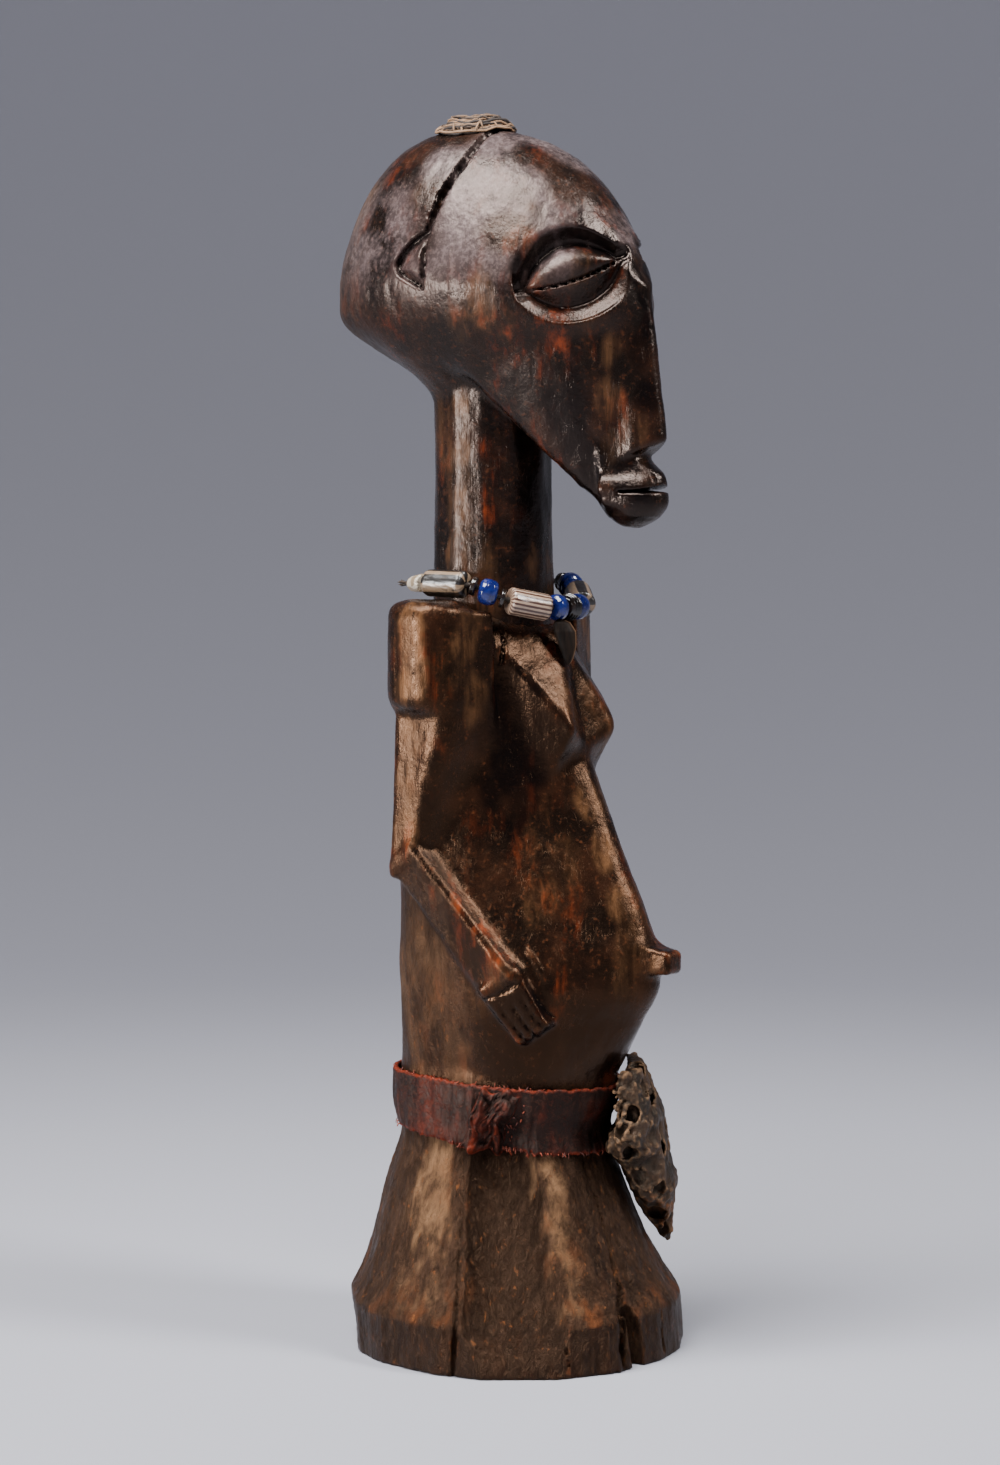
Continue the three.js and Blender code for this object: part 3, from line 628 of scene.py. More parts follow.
class Nodes:
    """A short way to wire a material."""

    def __init__(self, name):
        self.material = bpy.data.materials.new(name)
        self.material.use_nodes = True
        self.tree = self.material.node_tree
        self.shader = self.tree.nodes["Principled BSDF"]

    def add(self, kind, inputs=(), **settings):
        node = self.tree.nodes.new(kind)
        for key, value in settings.items():
            setattr(node, key, value)
        for key, value in dict(inputs).items():
            self.put(node.inputs[key], value)
        return node

    def put(self, socket, value):
        if isinstance(value, bpy.types.NodeSocket):
            self.tree.links.new(value, socket)
        elif isinstance(value, tuple) and len(socket.default_value) == 4:
            socket.default_value = (*value, 1)
        else:
            socket.default_value = value

    def noise(self, scale, detail, rough=.55, stretch=(1, 1, 1), distort=0, turn=(0, 0, 0)):
        place = self.add("ShaderNodeTexCoord").outputs["Object"]
        way = self.add("ShaderNodeMapping", {"Vector": place, "Scale": stretch, "Rotation": turn}).outputs[0]
        return self.add("ShaderNodeTexNoise", {"Vector": way, "Scale": scale, "Detail": detail, "Roughness": rough,
                                               "Distortion": distort}).outputs["Fac"]

    def attribute(self, name):
        return self.add("ShaderNodeAttribute", attribute_name=name).outputs["Fac"]

    def math(self, kind, a, b=0.0, clamp=False):
        n = self.add("ShaderNodeMath", operation=kind, use_clamp=clamp)
        self.put(n.inputs[0], a)
        self.put(n.inputs[1], b)
        return n.outputs[0]

    def plus(self, a, b):
        return self.math("ADD", a, b)

    def times(self, a, b):
        return self.math("MULTIPLY", a, b)

    def span(self, value, low, high, to_low=0.0, to_high=1.0):
        return self.add("ShaderNodeMapRange", {"Value": value, "From Min": low, "From Max": high, "To Min": to_low,
                                               "To Max": to_high}, interpolation_type="SMOOTHSTEP").outputs[0]

    def broken(self, mask, texture, low, high):
        """A mask, only where a texture is high."""
        return self.math("MULTIPLY", mask, self.span(texture, low, high), True)

    def hairline(self, texture, width):
        """Thin lines along the middle value of a texture."""
        return self.span(self.math("ABSOLUTE", self.math("SUBTRACT", texture, .5)), 0, width, 1, 0)

    def blend(self, factor, a, b):
        n = self.add("ShaderNodeMix", data_type="RGBA", blend_type="MIX")
        for i, value in ((0, factor), (6, a), (7, b)):
            self.put(n.inputs[i], value)
        return n.outputs[2]

    def bump(self, height, distance, strength, under=None):
        n = self.add("ShaderNodeBump", {"Height": height, "Distance": distance, "Strength": strength})
        if under is not None:
            self.put(n.inputs["Normal"], under)
        return n.outputs[0]

    def finish(self, colour, rough, normal, **fixed):
        values = {"Base Color": colour, "Roughness": rough, "Normal": normal}
        for key, value in values.items():
            self.put(self.shader.inputs[key], value)
        for key, value in fixed.items():
            self.shader.inputs[key.replace("_", " ")].default_value = value
        return self.material


def scratches(n, scale, width, turn):
    """Sparse short strokes that lean one way."""
    return n.hairline(n.noise(scale, 2, .5, (1, 1, .16), turn=turn), width)


def carved_wood(name, tint):
    n = Nodes(name)
    grain = n.noise(260, 5, .62, (1, 1, .07), .4)
    cloud = n.noise(70, 5, .6)
    fleck = n.noise(560, 4, .65)
    patch = n.noise(150, 5, .65, (1, 1, .5))
    gold, red, grey, dry, wear, deep = (n.attribute(k) for k in ("gold", "red", "grey", "dry", "wear", "deep"))
    strokes = n.math("MAXIMUM", scratches(n, 420, .012, (.5, .9, 0)), scratches(n, 380, .010, (-.9, .4, .7)))
    strokes = n.times(strokes, n.span(n.noise(170, 3), .50, .64))
    colour = n.blend(n.span(cloud, .40, .68), (.0025, .0015, .0012), (.012, .0046, .0025))
    colour = n.blend(n.times(n.span(fleck, .57, .72), .5), colour, (.070, .021, .008))
    brown = n.blend(n.span(grain, .36, .64), (.016, .007, .003), (.088, .040, .017))
    # Golden worn wood, and also painted highlight on the facets that face the lamps
    colour = n.blend(n.broken(gold, patch, .32, .56), colour, brown)
    rust = n.blend(n.span(grain, .42, .66), (.012, .0024, .0012), (.130, .022, .006))
    colour = n.blend(n.broken(red, patch, .44, .64), colour, rust)
    # The waxy grey coat of the crown, lightened into a painted sheen
    waxy_coat_and_sheen = n.blend(n.span(fleck, .42, .68), (.050, .036, .035), (.094, .069, .067))
    colour = n.blend(n.broken(grey, cloud, .30, .60), colour, waxy_coat_and_sheen)
    fine = n.noise(900, 4, .7, (1, 1, .3))
    matte = n.plus(n.times(fine, .6), n.times(grain, .4))
    matte = n.blend(n.span(matte, .42, .60), (.0045, .0028, .0022), (.022, .0115, .0072))
    # On the skirt this golden tone is painted highlight on the facets that face the lamps
    matte = n.blend(n.broken(gold, patch, .30, .66), matte, (.150, .082, .042))
    matte = n.blend(n.broken(red, patch, .44, .62), matte, (.070, .021, .007))
    colour = n.blend(dry, colour, matte)
    spots = n.times(n.times(n.span(n.noise(420, 5, .75, (1, 1, .5)), .60, .68), dry), .8)
    edge = n.blend(n.span(fleck, .40, .62), (.130, .026, .007), (.075, .036, .018))
    colour = n.blend(n.broken(wear, patch, .38, .60), colour, edge)
    colour = n.blend(n.times(strokes, .22), colour, (.085, .042, .023))
    # Near-black where deep is high: patina in the hollows, and painted shade in cracks and shaded spots
    colour = n.blend(deep, colour, (.0014, .0011, .0012))
    colour = n.blend(spots, colour, (.120, .040, .012))
    dull = n.plus(n.times(dry, .44), n.times(gold, .16))
    rough = n.span(n.plus(dull, n.times(fleck, .5)), .18, .95, .26, .74)
    rough = n.times(rough, n.math("SUBTRACT", 1.0, n.times(deep, .5)))
    normal = n.bump(cloud, .0006, .4)
    normal = n.bump(grain, .00035, .6, normal)
    normal = n.bump(n.times(n.noise(330, 6, .7, (1, 1, .45), 1.5), dry), .0022, .8, normal)
    normal = n.bump(n.math("SUBTRACT", fleck, n.times(strokes, .25)), .00012, .9, normal)
    normal = n.bump(n.noise(1500, 3, .6, (1, 1, .5)), .00008, .8, normal)
    return n.finish(colour, rough, normal, Specular_IOR_Level=.27, Specular_Tint=(*tint, 1))


def fibre_like(name, dark, light, rough):
    """Stringy stuff whose pieces differ in tone."""
    n = Nodes(name)
    streak = n.noise(900, 4, .6)
    tone = n.plus(n.times(n.attribute("tone"), .75), n.times(streak, .45))
    return n.finish(n.blend(n.span(tone, .2, .95), dark, light), rough, n.bump(streak, .0002, .8))


def leather():
    n = Nodes("worn_red_leather")
    skin = n.noise(620, 5, .65)
    cloud = n.noise(90, 4, .6)
    crease = n.noise(210, 3, .6, (1, 1, 1), 1.2)
    lines = n.hairline(crease, .022)
    edge = n.attribute("edge")
    colour = n.blend(n.span(cloud, .40, .70), (.0045, .0028, .0024), (.015, .0062, .0045))
    colour = n.blend(n.times(n.span(skin, .5, .7), .5), colour, (.038, .016, .010))
    colour = n.blend(n.times(lines, .3), colour, (.080, .012, .005))
    colour = n.blend(n.broken(edge, skin, .25, .6), colour, (.120, .014, .0045))
    normal = n.bump(crease, .0006, .5)
    normal = n.bump(n.math("SUBTRACT", skin, n.times(lines, .4)), .0003, .8, normal)
    return n.finish(colour, n.span(skin, .3, .7, .38, .62), normal,
                    Specular_IOR_Level=.16, Specular_Tint=(1, .7, .6, 1))


def hide():
    n = Nodes("dry_knobbly_hide")
    skin = n.noise(520, 5, .65)
    cloud = n.noise(150, 4, .6)
    high, deep = n.attribute("high"), n.attribute("deep")
    colour = n.blend(n.span(cloud, .38, .64), (.006, .004, .003), (.024, .012, .0065))
    # Painted highlight: tan on the knobs that stand out
    colour = n.blend(n.broken(high, skin, .32, .6), colour, (.135, .074, .038))
    colour = n.blend(n.broken(n.attribute("edge"), skin, .4, .6), colour, (.115, .040, .013))
    # Painted shade: near-black in the pits
    colour = n.blend(deep, colour, (.004, .003, .0025))
    return n.finish(colour, n.span(skin, .3, .7, .38, .65), n.bump(skin, .0009, .9),
                    Specular_IOR_Level=.3, Specular_Tint=(1, .8, .62, 1))


def glass(name, dark, light):
    n = Nodes(name)
    cloud = n.noise(330, 4, .6)
    scuff = n.span(n.noise(900, 4, .7), .62, .74)
    colour = n.blend(n.span(cloud, .35, .7), dark, light)
    colour = n.blend(n.times(scuff, .35), colour, tuple(min(1, v + .08) for v in light))
    rough = n.plus(n.times(scuff, .4), .12)
    return n.finish(colour, rough, n.bump(n.noise(700, 3), .00012, .5), Coat_Weight=.2, Coat_Roughness=.08)


def striped(name, dark, light, rough):
    n = Nodes(name)
    dirt = n.noise(480, 4, .65)
    line = n.plus(n.attribute("stripe"), n.times(n.math("SUBTRACT", dirt, .5), .5))
    colour = n.blend(n.span(line, .42, .58), dark, light)
    colour = n.blend(n.times(n.span(dirt, .54, .72), .55), colour, (.045, .025, .015))
    return n.finish(colour, rough, n.bump(n.noise(650, 4), .00018, .6), Coat_Weight=.15, Coat_Roughness=.12)


def horn():
    n = Nodes("dark_horn")
    streak = n.noise(420, 4, .6, (1, 1, .15))
    rim = n.attribute("edge")
    colour = n.blend(n.span(streak, .35, .7), (.003, .0022, .002), (.015, .009, .006))
    colour = n.blend(n.broken(rim, streak, .25, .55), colour, (.150, .080, .042))
    return n.finish(colour, .55, n.bump(streak, .0002, .6), Specular_IOR_Level=.06)


make_camera()
WOOD = carved_wood("dark_patinated_wood", (1, .52, .28))
CROWN_WOOD = carved_wood("greyish_patinated_wood", (1, .77, .66))
FIBRE = fibre_like("dry_plant_fibre", (.010, .0045, .0025), (.20, .112, .058), .8)
FRAY = fibre_like("red_leather_fibre", (.045, .007, .004), (.21, .035, .011), .75)
CORD = fibre_like("dark_twisted_cord", (.006, .004, .003), (.042, .025, .015), .8)
LEATHER, HIDE, HORN = leather(), hide(), horn()
BLUE = glass("cobalt_glass", (.0025, .0045, .042), (.006, .013, .100))
DARK_GLASS = glass("dark_bead_material", (.003, .0025, .0025), (.014, .008, .0055))
BONE = striped("old_bone", (.16, .115, .07), (.31, .26, .20), .5)
STRIPED = striped("black_and_white_glass", (.006, .004, .003), (.150, .100, .062), .35)
STRIPED_BROWN = striped("brown_and_cream_glass", (.036, .013, .008), (.25, .175, .125), .3)


# Pieces

def piece(name, node, slot, points, faces, material, **values):
    """A mesh that rides the one body and stands in for a solid."""
    o = make_mesh(name, points, faces, material, **values)
    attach(o, "root")
    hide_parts(node)


def near_spots(p, spots):
    """How strongly each point lies in any of the spots (px, py, radius, strength); both sides alike."""
    total = np.zeros(len(p))
    px, py, radius, strength = np.array(spots).T
    folded = np.column_stack([-np.abs(p[:, 0]), p[:, 1], p[:, 2]])
    ragged = stretched(p.T, 5, 9, 8) * .35
    for centre, r, s in zip(seen(px, py, whole), radius, strength):
        centre = centre * (1 if centre[0] < 0 else -1, 1, 1)
        d = np.linalg.norm((folded - centre) * (1, 1, .55), axis=1) / r
        total = np.maximum(total, s * ramp(-d + ragged, -1.15, -.45))
    return total


# Spots of tone on the wood, by where the photograph shows them: golden wood together with painted highlights, red
# wood, and painted shade.
GOLD_AND_HIGHLIGHT_SPOTS = [(462, 410, 4.5, 1), (461, 450, 4.5, 1), (460, 500, 5, 1), (457, 550, 5, .9), (532, 562, 3.5, .9),
        (410, 640, 8, .9), (411, 680, 7, .9), (459, 650, 4, .9), (470, 630, 6, .5), (474, 700, 6, .5),
        (409, 620, 7, 1), (412, 735, 5, .9), (407, 780, 5, .9), (404, 830, 5, .7), (588, 800, 5, .8),
        (603, 850, 5, .9), (620, 905, 5, .9), (608, 350, 4, .5), (608, 400, 5, .6), (612, 445, 4, .5),
        (478, 302, 7, .8), (455, 318, 6, .5), (504, 322, 5, .3), (430, 980, 12, .3), (455, 1040, 10, .3),
        (600, 700, 7, .4), (560, 860, 8, .35), (540, 900, 8, .3), (444, 1185, 7, .9), (438, 1225, 7, .9),
        (425, 1275, 6, .5), (450, 1295, 7, .6), (577, 1170, 2.6, .9), (588, 1215, 3.2, .9), (597, 1265, 4, .8),
        (602, 1297, 4, .8), (655, 968, 2.5, .5)]
RED = [(500, 400, 6, .8), (495, 450, 7, .9), (490, 510, 6, .9), (436, 650, 5, 1), (440, 690, 5, .9),
       (505, 340, 9, .9), (512, 265, 7, .8), (545, 335, 8, .8), (585, 345, 6, .6), (440, 880, 7, 1),
       (430, 870, 5, 1), (452, 905, 5, 1), (470, 920, 8, 1), (478, 960, 7, 1), (500, 955, 6, .9), (404, 850, 5, .8),
       (535, 845, 12, .5), (560, 905, 9, .5), (520, 760, 9, .4), (567, 722, 3, 1), (560, 370, 9, .5),
       (545, 430, 6, .5), (650, 330, 4, .6), (430, 1340, 12, .9), (520, 1352, 14, .9), (590, 1345, 12, .9),
       (665, 1330, 10, .7), (380, 1320, 8, .4), (480, 1285, 8, .6), (560, 1250, 10, .4)]
# Painted shade, in spots: under the brow, on the jaw, cheek and neck, under the shoulder and breasts, along the
# forearm and round the hand
PAINTED_SHADE_SPOTS = [(420, 885, 7, .6), (440, 915, 7, .6), (458, 945, 7, .6), (476, 972, 7, .6), (512, 690, 8, 1),
        (500, 730, 9, 1), (518, 740, 10, 1), (535, 755, 9, 1), (505, 770, 9, 1), (545, 735, 7, .9),
        (522, 800, 8, .8), (590, 470, 8, 1), (560, 420, 7, .9), (660, 470, 4, .8), (625, 480, 7, .8),
        (525, 440, 6, 1), (535, 490, 7, 1), (520, 540, 5, .9), (575, 400, 6, .9), (575, 440, 7, 1),
        (600, 505, 8, 1), (640, 512, 7, 1), (648, 400, 4, .9), (640, 350, 4, .7), (530, 700, 5, .9),
        (490, 790, 6, .8), (480, 740, 5, .8), (600, 1040, 14, .9), (560, 1060, 12, .9), (520, 1015, 7, 1),
        (500, 1010, 5, 1), (540, 1010, 6, 1), (500, 1045, 10, .7), (560, 730, 4, .8), (430, 640, 3, .5),
        (519, 273, 4.5, 1), (529, 260, 4.5, 1), (545, 246, 4.5, 1), (568, 236, 4.5, 1), (583, 233, 4, 1),
        (598, 236, 4.5, 1), (612, 243, 4, 1), (624, 254, 4, 1), (636, 272, 4, 1), (644, 298, 3.5, .9),
        (648, 325, 3.5, .8), (580, 301, 3.5, .8), (560, 307, 3, .7), (604, 288, 3, .7), (436, 760, 3, .8),
        (430, 800, 3, .8), (458, 700, 3, .4)]

# Painted highlight and painted shade round the skirt: (angle, light, dark)
SKIRT_LIGHT_AND_SHADE = [(0, .3, .3), (20, .1, .6), (45, .7, .1), (60, .1, .3), (85, .2, .6), (105, .8, .1), (125, .1, .5),
               (150, .1, .45), (166, .2, .3), (173, 1, 0), (185, 1, 0), (189, .2, .4), (197, .1, .6),
               (202, 0, 1.3), (228, 0, 1.3), (231, .2, .4), (236, 1.2, 0), (241, .9, 0), (247, .1, .5),
               (262, .1, .6), (290, .3, .3), (320, .1, .6), (340, .6, .1), (360, .3, .3)]


SKIRT_TOP = 84


def tool_marks(p, normal, depth):
    """Moves points in and out as the adze and the grain would, less round the eyes and lips."""
    x, y, z = p
    from_eye = np.linalg.norm((np.abs(x) - 20, y + 35, z - 361), axis=0)
    calm = np.where(z > 330, np.minimum(1, from_eye / 24)**6, 1)
    calm = calm * np.where((z > 284) & (z < 306) & (y < -38), .25, 1)
    bent = [v + 1.5 * stretched(p, 9, 9, seed) for v, seed in zip(p, (21, 22, 23))]
    cuts = cells(bent[0] / 8.5, bent[1] / 8.5, bent[2] / 19, 5) - .5
    swell = stretched(bent, 17, 26, 35) * 1.6 * (1 - .5 * ramp(z, 270, 300))
    cuts = cuts * (1.2 + .7 * ramp(-z, -SKIRT_TOP, -70)) + swell
    shift = depth * calm * (cuts + .35 * stretched(p, 2.4, 5, 31) + .16 * stretched(p, 1, 2, 32))
    grain = .22 * stretched(p, 1.3, 17, 33) + .12 * stretched(p, 1.1, 1, 34)
    shift = shift + ramp(-z, -93, -60) * grain
    shift = np.where(z < .4, np.minimum(shift, 0), shift) * (z > .3)
    return (p + normal.T * shift).T


def wood_tones(points, stands):
    """Where the wood is dry, worn, waxy grey with a painted sheen, golden with painted highlights, red, or dark
    with patina and painted shade.
    """
    p = x, y, z = points.T
    dry = clamp(ramp(-z, -99, -84) + .75 * ramp(y, -8, 12) * ramp(-z, -185, -130) * ramp(z, 90, 110))
    dry = np.maximum(dry, .5 * ramp(y, 30, 55) * ramp(z, 300, 320))
    worn = .15 + .65 * ramp(stretched(p, 7, 12, 95), -.25, .5)
    wear = ramp(stands, .16, .5) * worn * (1 - .85 * ramp(z, 255, 285))
    wear = wear * (1 - .3 * ramp(-z, -95, -80) * ramp(z, 8, 14))
    wear = np.maximum(wear, ramp(-z, -4.5, -.5) * ramp(stretched(p, 6, 2, 12), -.3, .6))
    cleft = np.min([ribbon(x, y, z, line) for line in (*HEAD_CRACK, *BODY_CRACKS, *BASE_CRACKS)]
                   + [ribbon(-np.abs(x), y, z, line) for line in FINGERS], 0)
    # deep: patina in the hollows, and painted shade in the cracks and in the listed shaded spots
    deep = clamp(ramp(-stands, .22, .65) + .9 * near_spots(points, PAINTED_SHADE_SPOTS) + ramp(-cleft, -.35, -.05))
    # The crown is greyer towards its top: a waxy coat and a painted sheen
    grey = ramp(z, 352, 378) * (1 - ramp(np.abs(x), 50, 60)) * ramp(stretched(p, 14, 14, 17), -.5, .3)
    # Golden wood and painted highlights from the listed spots, with random golden patches
    gold = near_spots(points, GOLD_AND_HIGHLIGHT_SPOTS) * (.75 + .25 * ramp(stretched(p, 3, 8, 14), -.4, .4))
    gold = np.maximum(gold, .3 * ramp(stretched(p, 10, 26, 15), .2, .7))
    red = np.maximum(near_spots(points, RED), .4 * ramp(stretched(p, 9, 20, 16), .1, .6))
    turn = np.degrees(np.arctan2(y - curve(z, SKIRT_Y), x)) % 360 + 4 * stretched(p, 3, 14, 91)
    at, light, dark = np.array(SKIRT_LIGHT_AND_SHADE).T
    low_down = ramp(-z, -SKIRT_TOP, -78)
    ragged = .5 * stretched(p, 4, 9, 92) + .5 * stretched(p, 1.6, 4, 93)
    # On the skirt, painted highlight on the facets that face the lamps takes the place of the golden spots
    light = np.interp(turn, at, light) * ramp(z, 14, 24) * (.45 + .55 * ramp(z, 36, 46))
    gold = gold * (1 - low_down) + low_down * ramp(light + .55 * ragged, .15, 1)
    # On the skirt, painted shade in the hollow and on the plinth band below the rim
    dark = np.interp(turn, at, dark) * ramp(z, 8, 16) + .95 * ramp(-z, -17, -15)
    dark = deep * (1 - low_down) + low_down * .92 * ramp(dark + .5 * ragged, .3, .8)
    return dict(wear=wear, dry=dry, gold=gold, red=red, grey=grey, deep=np.where(cleft > .4, dark, deep))


def carved(name, material, field, low, high, step, depth):
    points, faces, normal = net(field, low, high, step, step)
    points = tool_marks(points.T, normal, depth)
    tones = wood_tones(points, standing(points, faces, normal))
    piece(name, "figure", "carved_wood", points, faces, material, **tones)


def steps_round(n):
    """n angles once round."""
    return np.arange(n) * 2 * np.pi / n


def grid(rows, columns, closed=True):
    """Faces of a sheet of rows x columns points, joined round its columns where it is closed."""
    i, j = np.meshgrid(np.arange(rows - 1), np.arange(columns if closed else columns - 1), indexing="ij")
    k = (j + 1) % columns
    ring = [i * columns + j, i * columns + k, (i + 1) * columns + k, (i + 1) * columns + j]
    return np.stack(ring, -1).reshape(-1, 4)


def tube(path, radius, sides):
    """A tube along a path; its radius may vary along it, and around it too."""
    ahead = unit(np.gradient(path, axis=0))
    side = np.empty_like(ahead)
    s = np.cross(ahead[0], (.13, .21, 1))
    for i, w in enumerate(ahead):
        s = s - w * (s @ w)
        s = s / np.linalg.norm(s)
        side[i] = s
    up = np.cross(ahead, side)
    a = steps_round(sides)[None, :, None]
    r = radius if np.ndim(radius) == 2 else np.repeat(radius[:, None], sides, 1)
    ring = np.cos(a) * side[:, None] + np.sin(a) * up[:, None]
    return (path[:, None] + r[..., None] * ring).reshape(-1, 3), grid(len(path), sides)


def strands(name, node, slot, material, parts):
    """One piece from many (points, faces, tone)."""
    starts = np.cumsum([0] + [len(p) for p, _, _ in parts])
    points = np.concatenate([p for p, _, _ in parts])
    faces = np.concatenate([f + start for (_, f, _), start in zip(parts, starts)])
    tone = np.concatenate([np.full(len(p), t) for p, _, t in parts])
    piece(name, node, slot, points, faces, material, tone=tone)


def taper(n, tip=.25):
    """The share of its thickness that a strand has at n places, thinner at both ends."""
    s = np.linspace(0, 1, n)
    return tip + (1 - tip) * clamp(np.minimum(s, 1 - s) * 8)**.6


carved("carving_base", WOOD, lambda x, y, z: smax(carved_body(x, y, z), z - 84.2, .3),
       (-61, -61, -2), (61, 64, 86), .95, .30)
carved("carving_body", WOOD, lambda x, y, z: smax(carved_body(x, y, z), 83.6 - z, .3),
       (-52, -68, 82), (52, 48, 262), .95, .34)
carved("carving_head", CROWN_WOOD, carved_head_and_neck, (-42, -64, 242), (42, 72, 418), .85, .34)

rng = np.random.default_rng(7)


# The ring of fibre on the crown

CROWN_Y = 18


def skull_top(x, y):
    z = np.full(np.shape(x), 420.)
    for _ in range(14):
        z = z - skull(np.abs(x), y, z)
    return z


def on_crown(r, a):
    x, y = r * np.cos(a), CROWN_Y + r * np.sin(a)
    return x, y, skull_top(x, y)


def crown_ring():
    parts = []
    for i in range(72):
        n = 26
        start, reach = rng.uniform(0, 360), rng.uniform(50, 190)
        a = np.radians(start + np.linspace(0, reach, n))
        lift = rng.uniform(0, 1)
        r = rng.uniform(8, 14.4) - 1.2 * lift + rng.uniform(-1.2, 1.2) * np.linspace(-.5, .5, n)
        r = np.minimum(r + .3 * noise(a * 5, i, 0, 51), 14.5)
        x, y, z = on_crown(r, a)
        thick = rng.uniform(.24, .56)
        heap = clamp(1 - ((r - 7.6) / 7.2)**2)
        z = z + thick + .1 + (.4 + 4.0 * lift) * heap + .5 * noise(a * 4, i, 0, 52)
        parts.append((*tube(np.column_stack([x, y, z]), thick * taper(n), 7), rng.uniform(0, 1)**2.4))
    for i in range(26):
        s = np.linspace(0, 1, 8)
        a = rng.uniform(0, 2 * np.pi)
        start, end = rng.uniform(9, 12), rng.uniform(12.5, 14.8)
        swing = rng.uniform(-.5, .5)
        x, y, z = on_crown(start + (end - start) * s, a + swing * s)
        z = z + .5 + rng.uniform(1.5, 3.4) * np.sin(np.pi * (.35 + .5 * s))
        parts.append((*tube(np.column_stack([x, y, z]), rng.uniform(.2, .4) * taper(8), 6), rng.uniform(.3, 1)))
    rows, columns, wide = 16, 72, 12.6
    r, a = np.meshgrid(np.linspace(.2, wide, rows), steps_round(columns), indexing="ij")
    x, y, z = on_crown(r, a)
    z = z + .4 + 2.0 * (1 - (r / wide)**4) + .5 * noise(x / 1.7, y / 1.7, 0, 53)
    parts.append((np.stack([x, y, z], -1).reshape(-1, 3), grid(rows, columns)[:, ::-1], 0))
    strands("crown_fibre", "crown_packing", "fibre", FIBRE, parts)


crown_ring()


# The belt

def trunk_radius(turn, z):
    """How far the wood reaches from the middle, at an angle from the front towards the figure's left."""
    s, c, middle = np.sin(turn), np.cos(turn), curve(z, SKIRT_Y)
    r = np.full(np.shape(turn), 75.)
    for _ in range(40):
        r = r - trunk(r * s, middle - r * c, z) * .9
    return r


def around(turn, r, z):
    return np.stack([r * np.sin(turn), curve(z, SKIRT_Y) - r * np.cos(turn), z], -1)


def belt_edges(turn):
    f = (1 + np.cos(turn - math.radians(30))) / 2
    return 77 - 9 * f, 96 - 4.5 * f


def bell(v, middle, wide):
    return np.exp(-((v - middle) / wide)**2)


# Across the belt from its lower edge, over the outside and back: (share of its width, how far it stands out)
BELT_SHARE = np.array([0, .02, .06, .15, .3, .45, .6, .75, .88, .95, .985, 1, 1, .95, .7, .4, .1, 0])
BELT_STAND = np.array([1.3, 1.8, 2.1, 2.0, 1.8, 1.75, 1.8, 1.9, 2.1, 2.35, 2.3, 1.9, 1.1, .75, .7, .7, .75, .9])
BELT_OUTSIDE = (np.arange(len(BELT_SHARE)) < 12)[:, None]


def belt():
    columns = 900
    turn = steps_round(columns)
    low, high = belt_edges(turn)
    torn = .7 + 2.2 * bell(np.degrees(turn), 312, 17)
    low = low - torn * np.maximum(0, noise(turn * 46, 0, 0, 61) - .1) + .3 * noise(turn * 200, 0, 0, 62)
    high = high + .35 * noise(turn * 34, 0, 0, 63)
    share, turn = np.meshgrid(BELT_SHARE, turn, indexing="ij")
    degrees, z = np.degrees(turn), low + (high - low) * share
    fold = .35 * noise(turn * 14, z / 9, 0, 64) + .22 * noise(turn * 40 + z * .25, z / 14, 0, 65)
    stand = BELT_STAND[:, None] + np.where(BELT_OUTSIDE, fold + .2, 0)
    stand = stand + .8 * bell(degrees, 318, 2.2) * BELT_OUTSIDE
    points = around(turn, trunk_radius(turn, z) + stand, z)
    edge = np.maximum(ramp(-share, -.06, -.01), ramp(share, .965, .99))
    edge = np.maximum(edge, .28 * ramp(noise(turn * 9, z / 7, 0, 66), .3, .9) + .3 * bell(degrees, 262, 8))
    edge = edge * (.55 + .45 * ramp(noise(turn * 30, z / 3, 0, 67), -.5, .3))
    piece("belt_strip", "belt", "belt_leather", points, grid(*share.shape), LEATHER, edge=edge)


def belt_patch():
    """The folded and torn end of the strip."""
    n = 64
    u, v = np.meshgrid(np.linspace(-1, 1, n), np.linspace(-1, 1, n), indexing="ij")
    turn = np.radians(297 + 10.5 * u + 5.5 * v + 1.8 * noise(0, v * 2.3, 0, 71))
    low, high = belt_edges(turn)
    z = low - .8 + (high - low) * (.48 + .52 * v) + 1.3 * noise(u * 2.5, 0, 0, 72)
    rim = clamp(1 - np.maximum(np.abs(u), np.abs(v))**5)**.6
    folds = np.abs(noise(u * 2.6 + v * 1.2, v * 2.1, 0, 73)) * 2.6 + 1.1 * np.abs(noise(u * 6, v * 5, 0, 74))
    ridge = 1.5 * bell(u + .62 + .2 * v, 0, .16) + .9 * bell(u - .55 - .25 * v, 0, .13)
    r = trunk_radius(turn, z) + 1.2 + rim * (1.3 + folds + ridge)
    edge = .8 * ramp(ridge, .5, 1.3) * ramp(-v, -.5, .6) + ramp(-rim, -.6, -.15) + .3 * ramp(folds, 1.5, 2.6)
    piece("belt_patch", "belt", "belt_leather", around(turn, r, z), grid(n, n, False), LEATHER, edge=clamp(edge))


